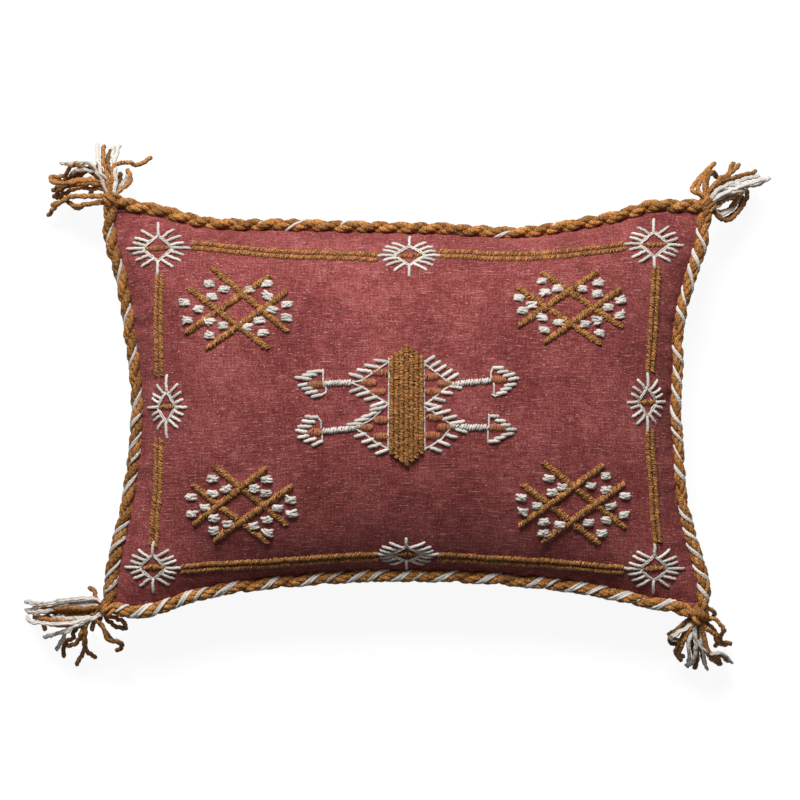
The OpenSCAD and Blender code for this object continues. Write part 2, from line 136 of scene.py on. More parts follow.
# ---- the straight band of the back that the zip lies on ----
ZIP_Y = -145.0
ZIP_HALF = 175.0
SLOT_HALF = 5.2
BAND_HALF = 13.0
BAND_FADE = 14.0
BAND_PAST = 12.0
BAND_END_FADE = 50.0
zip_edge = HALF_HEIGHT - SAG_Y
zip_v = (BOW / 2 - ZIP_Y) / zip_edge
ZIP_Z = float(free_back_z(0.0, zip_v))
ZIP_TAN = float(free_back_z(0.0, zip_v + 2 / zip_edge) - free_back_z(0.0, zip_v - 2 / zip_edge)) / 4
ZIP_ANGLE = math.atan(ZIP_TAN)
SLOT_U = (ZIP_HALF + 6) / (HALF_LENGTH - SAG_X * (1 - zip_v**SAG_POWER))


def zip_band(x, y):
    """How far the zip's flat band holds at x, y, from 0 to 1."""
    along = ease((ZIP_HALF + BAND_PAST + BAND_END_FADE - np.abs(x)) / BAND_END_FADE)
    return along * ease((BAND_HALF + BAND_FADE - np.abs(y - ZIP_Y)) / BAND_FADE)


def back_point(u, v, i=0.0):
    """A point of the back's plain shape, with the zip's flat band in it."""
    x, y = outline(u, v, i)
    plane = ZIP_Z + (ZIP_Y - y) * ZIP_TAN + i / math.cos(ZIP_ANGLE)
    share = zip_band(x, y)
    return np.stack([x, y, free_back_z(u, v, i) * (1 - share) + plane * share], -1)


def zip_point(x, y, z):
    """A point given along the zip, towards the bottom edge, and out of the pillow."""
    cos, sin = math.cos(ZIP_ANGLE), math.sin(ZIP_ANGLE)
    x, y, z = np.broadcast_arrays(x, y, z)
    return np.stack([x, ZIP_Y - y * cos - z * sin, ZIP_Z + y * sin - z * cos], -1)


# ---- even steps over the crowned surface ----
def even_arc(shares, half, power):
    """Parameters from -1 to 1 at even shares of the length of the crown's arc."""
    p = np.linspace(-1, 1, 6001)
    z = FRONT_RISE * np.sqrt(np.clip(1 - np.abs(p) ** power, 0, None))
    arc = np.concatenate([[0], np.cumsum(np.hypot(np.diff(p) * half, np.diff(z)))])
    return np.interp((shares + 1) / 2 * arc[-1], arc, p)


def surface_parameters(s, t):
    """u, v at the cloth coordinates s, t, which run from -1 to 1 along the threads."""
    u = even_arc(s, HALF_LENGTH - SAG_X, CROWN_POWER_X)
    v = even_arc(t, HALF_HEIGHT - SAG_Y, CROWN_POWER_Y)
    near_long_seam, near_short_seam = np.abs(t) ** 4, np.abs(s) ** 4
    return u + (s - u) * near_long_seam, v + (t - v) * near_short_seam


def cloth_grid(cells_x, cells_y):
    """Cloth coordinates s and t of a grid's points."""
    return np.meshgrid(np.linspace(-1, 1, cells_x + 1), np.linspace(-1, 1, cells_y + 1), indexing="ij")


def quads(index):
    """The quads of a grid of vertex numbers, facing up where the first axis is X and the second Y."""
    return np.stack([index[:-1, :-1], index[1:, :-1], index[1:, 1:], index[:-1, 1:]], -1).reshape(-1, 4)


def added(name, data):
    """A new object of the scene."""
    thing = bpy.data.objects.new(name, data)
    bpy.context.scene.collection.objects.link(thing)
    return thing


def on_rim(s, t):
    """Where a grid's points lie on the seam."""
    return (np.abs(s) > 1 - 1e-9) | (np.abs(t) > 1 - 1e-9)


def unit(a):
    """Vectors made one long."""
    return a / np.maximum(np.linalg.norm(a, axis=-1, keepdims=True), 1e-9)


# ---- the stuffed cover: an inflated flat cut, pinned along its seam ----
SIM_X, SIM_Y = 132, 88
SIM_FRAMES = 20
# the furthest that a point may move
SIM_CAP = 8.0


def inflated_moves():
    """How far pressure moves the front and back from their plain shapes, on the simulation's grid."""
    s, t = cloth_grid(SIM_X, SIM_Y)
    u, v = surface_parameters(s, t)
    front, back = front_point(u, v), back_point(u, v)
    rim = on_rim(s, t)
    front_index = np.arange(s.size).reshape(s.shape)
    back_index = front_index.copy()
    back_index[~rim] = s.size + np.arange((~rim).sum())
    start = np.concatenate([front.reshape(-1, 3), back[~rim]]) * MM
    flat_front = np.stack([s * FLAT_LENGTH / 2, t * FLAT_HEIGHT / 2, 0 * s], -1)
    flat = np.concatenate([flat_front.reshape(-1, 3), flat_front[~rim]]) * MM
    faces = np.concatenate([quads(front_index), quads(back_index)[:, ::-1]])
    mesh = bpy.data.meshes.new("inflating")
    mesh.from_pydata(start.tolist(), [], faces.tolist())
    bag = added("inflating", mesh)
    bag.shape_key_add(name="stuffed")
    cut = bag.shape_key_add(name="cut")
    cut.data.foreach_set("co", flat.ravel())
    cut.value = 0.0
    seam = bag.vertex_groups.new(name="seam")
    seam.add(front_index[rim].tolist(), 1.0, "REPLACE")
    add_pressure(bag, cut, seam)
    scene = bpy.context.scene
    for number in range(1, SIM_FRAMES + 1):
        scene.frame_set(number)
    evaluated = bag.evaluated_get(bpy.context.evaluated_depsgraph_get())
    moved = np.zeros(len(start) * 3, np.float32)
    evaluated.data.vertices.foreach_get("co", moved)
    scene.frame_set(1)
    bpy.data.objects.remove(bag)
    move = moved.reshape(-1, 3) / MM - start / MM
    size = np.linalg.norm(move, axis=1, keepdims=True)
    move *= SIM_CAP / np.sqrt(SIM_CAP**2 + size**2)
    return move[front_index], move[back_index]


def add_pressure(bag, cut, seam):
    """Blender's Cloth with air pressure and no gravity, pinned along the seam."""
    cloth = bag.modifiers.new("Cloth", "CLOTH")
    cloth.settings.quality = 6
    cloth.settings.mass = 0.2
    cloth.settings.tension_stiffness = 18
    cloth.settings.compression_stiffness = 18
    cloth.settings.shear_stiffness = 6
    cloth.settings.bending_stiffness = 0.15
    cloth.settings.air_damping = 3
    cloth.settings.rest_shape_key = cut
    cloth.settings.vertex_group_mass = seam.name
    cloth.settings.use_pressure = True
    cloth.settings.uniform_pressure_force = 4
    cloth.settings.effector_weights.gravity = 0
    cloth.point_cache.frame_start = 1
    cloth.point_cache.frame_end = SIM_FRAMES


def sampled(field, s, t):
    """A field of the simulation's grid, read between its points."""
    fs = (s + 1) / 2 * (field.shape[0] - 1)
    ft = (t + 1) / 2 * (field.shape[1] - 1)
    i = np.clip(fs.astype(int), 0, field.shape[0] - 2)
    j = np.clip(ft.astype(int), 0, field.shape[1] - 2)
    a, b = ease(fs - i)[..., None], ease(ft - j)[..., None]
    low = field[i, j] * (1 - a) + field[i + 1, j] * a
    high = field[i, j + 1] * (1 - a) + field[i + 1, j + 1] * a
    return low * (1 - b) + high * b


def ripples(along, wavelength, seed):
    """An uneven row of folds about one wavelength long, between -1 and 1."""
    draw = np.random.default_rng(seed)
    total = 0
    for stretch in (0.62, 0.83, 1.0, 1.31, 1.9):
        total = total + np.sin(TAU * along / (wavelength * stretch) + draw.uniform(0, TAU))
    return total / 3


def gathers(s, t, seed):
    """Height of the small folds that the seam draws into the cloth, and of its soft unevenness."""
    x, y = s * FLAT_LENGTH / 2, t * FLAT_HEIGHT / 2
    total = 0.8 * ripples(x + 0.4 * y, 150, seed) * ripples(y, 110, seed + 1) * (1 - t**4) * (1 - s**4)
    for wavelength, reach, height in ((13, 5, 0.55), (31, 15, 0.9)):
        for gap, along, half, other, offset in (
            ((1 - np.abs(t)) * FLAT_HEIGHT / 2, x, np.sign(t), s, 2),
            ((1 - np.abs(s)) * FLAT_LENGTH / 2, y, np.sign(s), t, 5),
        ):
            fold = ripples(along + 37 * half, wavelength, seed + offset)
            total = total + height * fold * gap / reach * np.exp(1 - gap / reach) * (1 - other**6)
    return total


def surface_normals(points):
    """Unit normals of a grid of points."""
    across = np.gradient(points, axis=0)
    up = np.gradient(points, axis=1)
    return unit(np.cross(across, up))


# ---- meshes ----
def mesh_piece(name, points, faces, uvs=None, uv_name="flat"):
    """A smooth mesh object from points in millimetres, and quads with their corners' UVs."""
    mesh = bpy.data.meshes.new(name)
    mesh.from_pydata((np.asarray(points).reshape(-1, 3) * MM).tolist(), [], np.asarray(faces).tolist())
    if uvs is not None:
        layer = mesh.uv_layers.new(name=uv_name)
        layer.uv.foreach_set("vector", np.asarray(uvs, np.float32)[np.asarray(faces).ravel()].ravel())
    mesh.shade_smooth()
    return added(name, mesh)


def place(piece, material, body, slot, *nodes):
    """Gives a piece its material, its body and the CAD nodes that it stands for, which it hides. slot is not
    used.
    """
    piece.data.materials.append(material)
    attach(piece, body)
    if nodes:
        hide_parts(*nodes)
    return piece


class Yarn:
    """Gathers round yarns and turns them into one mesh piece."""

    def __init__(self):
        self.points, self.faces, self.caps, self.uvs, self.tones = [], [], [], [], []
        self.count = 0

    def add(self, lines, radius, sides=6, lobes=0, depth=0.0, lay=6.0, tone=None):
        """Adds one tube for each line. lines is (tubes, steps, 3) and radius fits (tubes, steps).
        lobes, depth and lay give it the relief of that many strands, a turn every lay millimetres."""
        lines = np.asarray(lines, float)
        tubes, steps, _ = lines.shape
        tangent, normal = carried_frames(lines)
        side = np.cross(tangent, normal)
        arc = np.zeros((tubes, steps))
        arc[:, 1:] = np.cumsum(np.linalg.norm(np.diff(lines, axis=1), axis=2), axis=1)
        angle = np.arange(sides) * TAU / sides
        reach = np.broadcast_to(radius, (tubes, steps))[..., None] * np.ones(sides)
        if lobes:
            phase = rng.uniform(0, TAU, (tubes, 1, 1))
            reach = reach * (1 + depth * np.cos(lobes * (angle - TAU * arc[..., None] / lay) + phase))
        ring = np.cos(angle)[:, None] * normal[:, :, None] + np.sin(angle)[:, None] * side[:, :, None]
        points = lines[:, :, None] + reach[..., None] * ring
        index = self.count + np.arange(tubes * steps * sides).reshape(tubes, steps, sides)
        turned = np.roll(index, -1, axis=2)
        faces = np.stack([index[:, :-1], turned[:, :-1], turned[:, 1:], index[:, 1:]], -1)
        start = rng.uniform(0, 1, (tubes, 1)) + arc * MM
        v = np.broadcast_to(start[..., None], (tubes, steps, sides))
        u = np.broadcast_to(np.arange(sides) / sides, (tubes, steps, sides))
        uv = np.stack([u, v], -1)
        uv_turned = np.stack([u + 1 / sides, v], -1)
        corners = np.stack([uv[:, :-1], uv_turned[:, :-1], uv_turned[:, 1:], uv[:, 1:]], -2)
        self.points.append(points.reshape(-1, 3))
        self.faces.append(faces.reshape(-1, 4))
        self.uvs.append(corners.reshape(-1, 2))
        self.caps.extend(index[:, 0, ::-1].tolist())
        self.caps.extend(index[:, -1].tolist())
        tone = rng.uniform(0, 1, tubes) if tone is None else np.broadcast_to(tone, tubes)
        self.tones.append(np.repeat(tone, steps * sides))
        self.count += tubes * steps * sides
        return self

    def build(self, name, material, body, slot, *nodes):
        points = np.concatenate(self.points)
        faces = np.concatenate(self.faces)
        corner_uvs = np.concatenate(self.uvs)
        mesh = bpy.data.meshes.new(name)
        mesh.from_pydata((points * MM).tolist(), [], faces.tolist() + self.caps)
        layer = mesh.uv_layers.new(name="yarn")
        all_uvs = np.zeros((len(mesh.loops), 2), np.float32)
        all_uvs[: len(corner_uvs)] = corner_uvs
        layer.uv.foreach_set("vector", all_uvs.ravel())
        tone = mesh.attributes.new("tone", "FLOAT", "POINT")
        tone.data.foreach_set("value", np.concatenate(self.tones).astype(np.float32))
        mesh.shade_smooth()
        return place(added(name, mesh), material, body, slot, *nodes)


def carried_frames(lines):
    """Tangents along each line, and normals carried along it without twisting."""
    tangent = unit(np.gradient(lines, axis=1))
    upright = np.abs(tangent[:, 0, 2:]) > 0.9
    helper = np.where(upright, [1.0, 0.0, 0.0], [0.0, 0.0, 1.0])
    normal = np.zeros_like(lines)
    current = unit(np.cross(tangent[:, 0], helper))
    for k in range(lines.shape[1]):
        current = unit(current - (current * tangent[:, k]).sum(1, keepdims=True) * tangent[:, k])
        normal[:, k] = current
    return tangent, normal


def resampled(points, step):
    """A polyline at even steps of about step millimetres."""
    points = np.asarray(points, float)
    arc = np.concatenate([[0], np.cumsum(np.linalg.norm(np.diff(points, axis=0), axis=1))])
    count = max(2, int(round(arc[-1] / step)) + 1)
    at = np.linspace(0, arc[-1], count)
    return np.stack([np.interp(at, arc, points[:, k]) for k in range(points.shape[1])], -1)


def leads(line):
    """Unit vectors along a line in plan, and square to it on its left."""
    along = unit(np.gradient(line, axis=0))
    return along, left_of(along)


def left_of(along):
    return np.stack([-along[:, 1], along[:, 0]], -1)


def curve_through(points, count):
    """A smooth Catmull-Rom curve through the points, at count places."""
    points = np.asarray(points, float)
    padded = np.concatenate([[2 * points[0] - points[1]], points, [2 * points[-1] - points[-2]]])
    at = np.linspace(0, len(points) - 1, count)
    k = np.minimum(at.astype(int), len(points) - 2)
    t = (at - k)[:, None]
    a, b, c, d = (padded[k + j] for j in range(4))
    return 0.5 * (2 * b + (c - a) * t + (2 * a - 5 * b + 4 * c - d) * t**2 + (3 * b - a - 3 * c + d) * t**3)


def add_fuzz(yarn, lines, radius, every, length, thickness=0.1):
    """Fine loose fibres that stand out of the yarns along the lines, about one every few millimetres."""
    lines = np.asarray(lines, float)
    tubes, steps, _ = lines.shape
    total = np.linalg.norm(np.diff(lines, axis=1), axis=2).sum()
    count = int(total / every)
    tube, step = rng.integers(0, tubes, count), rng.integers(1, steps - 1, count)
    tangent, normal = carried_frames(lines)
    along, out = tangent[tube, step], normal[tube, step]
    turn = rng.uniform(0, TAU, (count, 1))
    away = unit(np.cos(turn) * out + np.sin(turn) * np.cross(along, out))
    lean = rng.uniform(-1.3, 1.3, (count, 1))
    reach = length * rng.uniform(0.4, 1.0, (count, 1))
    root = lines[tube, step] + away * radius * 0.8
    middle = root + (away * 0.45 + along * lean * 0.35) * reach
    tip = root + (away * 0.6 + along * lean + rng.normal(0, 0.2, (count, 3))) * reach
    hairs = np.stack([root, middle, tip], 1)
    yarn.add(hairs, np.array([thickness, thickness, thickness * 0.5]), sides=3)


# ---- materials ----
class Graph:
    """A material's node graph, with short ways to add what these materials share."""

    def __init__(self, name, roughness, sheen=0.0, sheen_roughness=0.5, tint=(1, 1, 1)):
        self.material = bpy.data.materials.new(name)
        self.material.use_nodes = True
        self.nodes = self.material.node_tree.nodes
        self.links = self.material.node_tree.links
        self.shader = self.nodes["Principled BSDF"]
        self.shader.inputs["Roughness"].default_value = roughness
        self.shader.inputs["Sheen Weight"].default_value = sheen
        self.shader.inputs["Sheen Roughness"].default_value = sheen_roughness
        self.shader.inputs["Sheen Tint"].default_value = (*tint, 1)
        self.shader.inputs["Specular IOR Level"].default_value = 0.25

    def add(self, kind, inputs=None, **settings):
        """Adds a node, sets its own settings, then sets or links its inputs by name or number."""
        node = self.nodes.new(kind)
        for key, value in settings.items():
            setattr(node, key, value)
        for key, value in (inputs or {}).items():
            self.put(node.inputs[key], value)
        return node

    def put(self, socket, value):
        """Links the socket to a node's output, or sets its value."""
        if isinstance(value, bpy.types.NodeSocket):
            self.links.new(value, socket)
        elif isinstance(value, tuple) and len(value) == 3 and socket.type == "RGBA":
            socket.default_value = (*value, 1)
        else:
            socket.default_value = value

    def math(self, operation, a, b=0.0):
        return self.add("ShaderNodeMath", {0: a, 1: b}, operation=operation).outputs[0]

    def uv(self, name):
        return self.add("ShaderNodeUVMap", uv_map=name).outputs[0]

    def position(self):
        return self.add("ShaderNodeTexCoord").outputs["Object"]

    def scaled(self, vector, x, y, z=1.0):
        """The vector with its parts multiplied, which stretches what is laid on it."""
        return self.add("ShaderNodeMapping", {"Vector": vector, "Scale": (x, y, z)}).outputs[0]

    def noise(self, vector, scale, detail=2.0, roughness=0.5):
        inputs = {"Vector": vector, "Scale": scale, "Detail": detail, "Roughness": roughness}
        return self.add("ShaderNodeTexNoise", inputs).outputs[0]

    def remap(self, value, low, high, to_low=0.0, to_high=1.0):
        inputs = {"Value": value, "From Min": low, "From Max": high, "To Min": to_low, "To Max": to_high}
        return self.add("ShaderNodeMapRange", inputs).outputs[0]

    def ramp(self, value, *stops):
        node = self.add("ShaderNodeValToRGB", {"Fac": value})
        elements = node.color_ramp.elements
        while len(elements) < len(stops):
            elements.new(0.5)
        for element, (at, colour) in zip(elements, stops):
            element.position = at
            element.color = (*colour, 1)
        return node.outputs[0]

    def mix(self, factor, a, b, blend="MIX"):
        node = self.add("ShaderNodeMix", data_type="RGBA", blend_type=blend)
        self.put(node.inputs["Factor"], factor)
        self.put(node.inputs[6], a)
        self.put(node.inputs[7], b)
        return node.outputs[2]

    def bump(self, height, depth, strength=1.0, under=None):
        inputs = {"Height": height, "Distance": depth * MM, "Strength": strength}
        if under is not None:
            inputs["Normal"] = under
        return self.add("ShaderNodeBump", inputs).outputs[0]

    def finish(self, colour, normal=None):
        """Joins the colour and the bump to the shader, and gives back the material."""
        self.put(self.shader.inputs["Base Color"], colour)
        if normal is not None:
            self.put(self.shader.inputs["Normal"], normal)
        return self.material


def shade(colour, factor):
    """A colour made darker or lighter."""
    return tuple(min(1.0, c * factor) for c in colour)


def woven_height(graph, flat, pitch):
    """A plain weave's over and under, one thread every pitch millimetres both ways."""
    parts = graph.add("ShaderNodeSeparateXYZ", {0: flat})
    turns = [graph.math("MULTIPLY", part, math.pi / (pitch * MM)) for part in parts.outputs[:2]]
    return graph.math("MULTIPLY", *(graph.math("SINE", turn) for turn in turns))


def rose_cotton():
    """Washed slub cotton: speckled uneven threads both ways, pale slubs and flecks, soft faded patches."""
    graph = Graph("rose_cotton", 0.95, sheen=0.05, sheen_roughness=0.6, tint=(1.0, 0.6, 0.55))
    flat = graph.uv("flat")
    weft = graph.noise(graph.scaled(flat, 70, 560), 1.0, 3)
    speckle = graph.noise(graph.scaled(flat, 520, 760), 1.0, 3, 0.7)
    warp = graph.noise(graph.scaled(flat, 640, 60), 1.0, 2)
    patches = graph.noise(flat, 13, 5, 0.6)
    clouds = graph.noise(flat, 90, 4, 0.7)
    threads = graph.math("ADD", graph.math("MULTIPLY", weft, 0.16), graph.math("MULTIPLY", warp, 0.12))
    threads = graph.math("ADD", threads, graph.math("MULTIPLY", speckle, 0.40))
    washed = graph.math("ADD", graph.math("MULTIPLY", patches, 0.18), graph.math("MULTIPLY", clouds, 0.14))
    total = graph.math("ADD", threads, washed)
    colour = graph.ramp(
        total,
        (0.42, (0.115, 0.018, 0.019)),
        (0.50, (0.256, 0.051, 0.048)),
        (0.58, (0.475, 0.138, 0.128)),
    )
    slub = graph.noise(graph.scaled(flat, 60, 620), 1.0, 2)
    colour = graph.mix(graph.remap(slub, 0.61, 0.72, 0.0, 0.8), colour, (0.56, 0.235, 0.21))
    fleck = graph.noise(graph.scaled(flat, 240, 640), 1.0, 1)
    colour = graph.mix(graph.remap(fleck, 0.66, 0.75, 0.0, 0.8), colour, (0.70, 0.40, 0.36))
    weave = woven_height(graph, flat, 1.4)
    height = graph.math("ADD", graph.math("MULTIPLY", weave, 0.12), graph.math("ADD", weft, speckle))
    height = graph.math("ADD", height, graph.remap(slub, 0.55, 0.78, 0.0, 0.9))
    return graph.finish(colour, graph.bump(height, 0.3, 0.9))


def yarn_material(name, colour, fibre=0.35, sheen=0.45, speck=None, ply=3.2, tones=(0.78, 1.18)):
    """Spun yarn: heathered fibres, darker and lighter strands, and the twist of its plies."""
    graph = Graph(name, 0.88, sheen=sheen, sheen_roughness=0.45, tint=shade(colour, 1.6))
    position, along = graph.position(), graph.uv("yarn")
    tone = graph.add("ShaderNodeAttribute", attribute_name="tone").outputs["Fac"]
    heather = graph.noise(position, 680, 2, 0.65)
    streak = graph.noise(graph.scaled(along, 9, 380), 1.0, 2)
    cloud = graph.noise(position, 90, 2)
    total = graph.math("ADD", graph.math("MULTIPLY", heather, 0.62), graph.math("MULTIPLY", streak, 0.24))
    total = graph.math("ADD", total, graph.math("MULTIPLY", cloud, 0.14))
    body = graph.ramp(
        total, (0.37, shade(colour, 1 - 0.85 * fibre)), (0.5, colour), (0.63, shade(colour, 1 + 0.9 * fibre))
    )
    if speck:
        fibres = graph.remap(graph.noise(position, 750, 1), 0.57, 0.66, 0.0, 0.75)
        body = graph.mix(fibres, body, speck)
    level = graph.remap(tone, 0.0, 1.0, *tones)
    grey = graph.add("ShaderNodeCombineColor", {0: level, 1: level, 2: level}).outputs[0]
    body = graph.mix(1.0, body, grey, "MULTIPLY")
    parts = graph.add("ShaderNodeSeparateXYZ", {0: along})
    turns = graph.math("MULTIPLY", parts.outputs[1], TAU / (ply * MM))
    twist = graph.math("SINE", graph.math("ADD", turns, graph.math("MULTIPLY", parts.outputs[0], TAU)))
    height = graph.math("ADD", graph.math("MULTIPLY", twist, 0.3), graph.math("ADD", streak, heather))
    return graph.finish(body, graph.bump(height, 0.3, 0.8))


def twill(name, colour):
    """Ribbed tape: fine diagonal lines and a slight unevenness."""
    graph = Graph(name, 0.85, sheen=0.15)
    flat = graph.uv("flat")
    parts = graph.add("ShaderNodeSeparateXYZ", {0: flat})
    diagonal = graph.math("ADD", parts.outputs[0], parts.outputs[1])
    rib = graph.math("SINE", graph.math("MULTIPLY", diagonal, TAU / (0.9 * MM)))
    worn = graph.noise(flat, 300, 3)
    body = graph.ramp(worn, (0.35, shade(colour, 0.75)), (0.65, shade(colour, 1.15)))
    return graph.finish(body, graph.bump(graph.math("ADD", rib, worn), 0.12, 0.6))


def brushed_brass():
    """Satin zip brass with fine scratches and duller, darker patches."""
    graph = Graph("zip_brass", 0.34)
    graph.shader.inputs["Metallic"].default_value = 1.0
    position = graph.position()
    scratches = graph.noise(graph.scaled(position, 400, 2600, 2600), 1.0, 3)
    dull = graph.noise(position, 130, 4, 0.6)
    body = graph.ramp(
        dull, (0.32, (0.36, 0.22, 0.075)), (0.55, (0.66, 0.44, 0.17)), (0.7, (0.76, 0.55, 0.25))
    )
    graph.put(graph.shader.inputs["Roughness"], graph.remap(dull, 0.3, 0.7, 0.48, 0.26))
    return graph.finish(body, graph.bump(scratches, 0.04, 0.5))


def plain_calico():
    """The insert's smooth pale lining cloth."""
    graph = Graph("calico", 0.9, sheen=0.1)
    flat = graph.uv("flat")
    threads = graph.noise(graph.scaled(flat, 700, 700), 1.0, 3)
    body = graph.ramp(threads, (0.35, (0.72, 0.70, 0.66)), (0.65, (0.86, 0.85, 0.82)))
    return graph.finish(body, graph.bump(woven_height(graph, flat, 0.6), 0.06, 0.6))


def wadding():
    """Matted polyester fibre."""
    graph = Graph("polyester_fill", 0.95, sheen=0.4)
    tufts = graph.noise(graph.position(), 60, 8, 0.75)
    body = graph.ramp(tufts, (0.35, (0.74, 0.74, 0.73)), (0.65, (0.9, 0.9, 0.9)))
    return graph.finish(body, graph.bump(tufts, 4.0, 0.9))


COTTON = rose_cotton()
# the cord's mustard is a darker copy of the tassels' mustard yarn. This is partly the cord's own browner tone
# and partly painted shade for the shade that falls on the cords along the sides and the bottom
CORD_MUSTARD_SHADED = yarn_material(
    "plaited_cord", (0.34, 0.138, 0.034), 1.05, 0.08, (0.66, 0.38, 0.15), tones=(0.55, 1.4)
)
TASSEL_MUSTARD = yarn_material(
    "mustard_yarn", (0.36, 0.148, 0.038), 1.05, 0.10, (0.68, 0.40, 0.17), tones=(0.62, 1.35)
)
OLIVE = yarn_material(
    "olive_mustard_yarn", (0.40, 0.172, 0.052), 0.8, 0.10, (0.70, 0.42, 0.17), 2.0, (0.6, 1.35)
)
WHITE = yarn_material("white_yarn", (0.74, 0.685, 0.62), 0.18, 0.15)
RUST = yarn_material("rust_yarn", (0.42, 0.145, 0.068), 0.4, 0.10, (0.58, 0.33, 0.20), 2.4, (0.75, 1.25))
SEWING = yarn_material("sewing_thread", (0.25, 0.075, 0.075), 0.15, 0.1, None, 0.8)
TAPE = twill("zip_tape", (0.19, 0.05, 0.05))
BRASS = brushed_brass()
CALICO = plain_calico()
WADDING = wadding()


# ---- cover panels ----
# cloth coordinates at even steps, to read one cloth coordinate back from a plan one
TICKS = np.linspace(-1, 1, 801)


def thicken(piece, inwards=CLOTH):
    """Gives a panel the thickness of its cloth, inwards from its outer face."""
    solid = piece.modifiers.new("cloth", "SOLIDIFY")
    solid.thickness = inwards * MM
    solid.offset = -1


def flat_uv(s, t):
    """The cut's own coordinates in metres, so that the threads keep their real size."""
    return np.stack([(s + 1) / 2 * FLAT_LENGTH * MM, (t + 1) / 2 * FLAT_HEIGHT * MM], -1).reshape(-1, 2)


def cover_front(moves):
    """The front panel, with the simulation's moves and the small folds added."""
    s, t = cloth_grid(264, 174)
    points = front_point(*surface_parameters(s, t)) + sampled(moves, s, t)
    points += surface_normals(points) * gathers(s, t, 3)[..., None]
    index = np.arange(s.size).reshape(s.shape)
    piece = mesh_piece("cover_front", points, quads(index), flat_uv(s, t))
    place(piece, COTTON, "pillow", "rose_cotton", "front_panel")
    thicken(piece)
    return piece


def slot_edge(u, side):
    """v along the zip's slot on one side of it; past its ends the two sides meet in a seam."""
    half = np.where(np.abs(u) <= SLOT_U, SLOT_HALF * math.cos(ZIP_ANGLE), RIM_GAP)
    rim = HALF_HEIGHT - SAG_Y * (1 - u * u)
    return (ZIP_Y + side * half - (BOW / 2 - BOW * u * u)) / rim


def cover_back(name, node, side, rows, moves):
    """One panel of the back: side 1 runs from the zip to the top edge, side -1 to the bottom."""
    s, share = np.meshgrid(np.linspace(-1, 1, 221), np.linspace(0, 1, rows + 1), indexing="ij")
    u = surface_parameters(s, 0 * s)[0]
    edge = slot_edge(u, side)
    v = edge + (side - edge) * np.sin(share * math.pi / 2)
    t = np.interp(v, surface_parameters(0 * TICKS, TICKS)[1], TICKS)
    points = back_point(u, v)
    shift = sampled(moves, s, t)
    shift += surface_normals(points * [1, side, 1]) * gathers(s, t, 40)[..., None] * [0, 0, -1]
    loose = 1 - zip_band(points[..., 0], points[..., 1])
    points = points + shift * loose[..., None]
    points[..., 2] = np.maximum(points[..., 2], 0.0)
    index = np.arange(s.size).reshape(s.shape)
    faces = quads(index)[:, ::-1] if side > 0 else quads(index)
    piece = mesh_piece(name, points, faces, flat_uv(s, t))
    place(piece, COTTON, "pillow", "rose_cotton", node)
    thicken(piece)
    return piece


front_moves, back_moves = inflated_moves()
front = cover_front(front_moves)
back = cover_back("cover_back", "back_panel", 1, 130, back_moves)
back_lower = cover_back("cover_back_lower", "back_panel_lower", -1, 26, back_moves)


# ---- laying yarns on the cloth ----
class Ground:
    """Heights of the cover's outside on a fine grid, seen from above or from below."""

    step = 2.5
    half_x, half_y = 300.0, 208.0

    def __init__(self, pieces, up):
        self.low = np.array([-self.half_x, -self.half_y])
        columns, rows = int(2 * self.half_x / self.step) + 1, int(2 * self.half_y / self.step) + 1
        points, faces = [], []
        for piece in pieces:
            start = len(points)
            points.extend(vertex.co for vertex in piece.data.vertices)
            faces.extend([start + k for k in face.vertices] for face in piece.data.polygons)
        tree = BVHTree.FromPolygons(points, faces)
        self.z = np.full((columns, rows), SEAM_HEIGHT)
        for i in range(columns):
            for j in range(rows):
                x, y = self.low + [i * self.step, j * self.step]
                hit = tree.ray_cast(Vector((x * MM, y * MM, 0.3 * up)), Vector((0, 0, -up)))[0]
                if hit is not None:
                    self.z[i, j] = hit.z / MM
        self.slope = np.stack(np.gradient(self.z, self.step), -1)
        self.up = up

    def lay(self, xy, lift):
        """Points on the cloth at xy, lift millimetres out of it."""
        at = (xy - self.low) / self.step
        k = np.clip(at.astype(int), 0, np.array(self.z.shape) - 2)
        part = at - k
        both = np.concatenate([self.z[..., None], self.slope], -1)
        a, b = part[..., :1], part[..., 1:]
        low = both[k[..., 0], k[..., 1]] * (1 - a) + both[k[..., 0] + 1, k[..., 1]] * a
        high = both[k[..., 0], k[..., 1] + 1] * (1 - a) + both[k[..., 0] + 1, k[..., 1] + 1] * a
        value = low * (1 - b) + high * b
        normal = unit(np.concatenate([-value[..., 1:], np.ones_like(a)], -1)) * self.up
        return np.concatenate([xy, value[..., :1]], -1) + normal * np.asarray(lift)[..., None]


ground = Ground([front], 1)
under = Ground([back, back_lower], -1)


def stitch(yarn, starts, ends, lift, radius, steps=7, sides=6, dip=0.9, wobble=0.12, on=None, **relief):
    """One arched stitch from each start to each end, going into the cloth at both."""
    starts, ends = np.asarray(starts, float), np.asarray(ends, float)
    t = np.linspace(0, 1, steps)[None, :, None]
    arch = np.sin(math.pi * t[..., 0]) ** 0.5
    xy = starts[:, None] * (1 - t) + ends[:, None] * t
    xy = xy + rng.normal(0, wobble, xy.shape) * arch[..., None]
    lift = np.asarray(lift) * rng.uniform(0.85, 1.15, len(starts))
    height = arch * (lift[:, None] + dip) - dip
    yarn.add((on or ground).lay(xy, height), radius, sides, **relief)


def doubled(starts, ends, gap):
    """Each stitch as two strands side by side."""
    starts, ends = np.asarray(starts, float), np.asarray(ends, float)
    across = left_of(unit(ends - starts)) * gap / 2
    return np.concatenate([starts - across, starts + across]), np.concatenate([ends - across, ends + across])


def thick_stitch(yarn, starts, ends, lift=1.2, radius=1.5):
    """Stitches of plump twisted yarn, slightly uneven at their ends."""
    starts = np.array(starts) + rng.normal(0, 0.3, (len(starts), 2))
    ends = np.array(ends) + rng.normal(0, 0.4, (len(ends), 2))
    stitch(yarn, starts, ends, lift, radius, steps=11, sides=10, wobble=0.2, lobes=3, depth=0.09, lay=7.0)


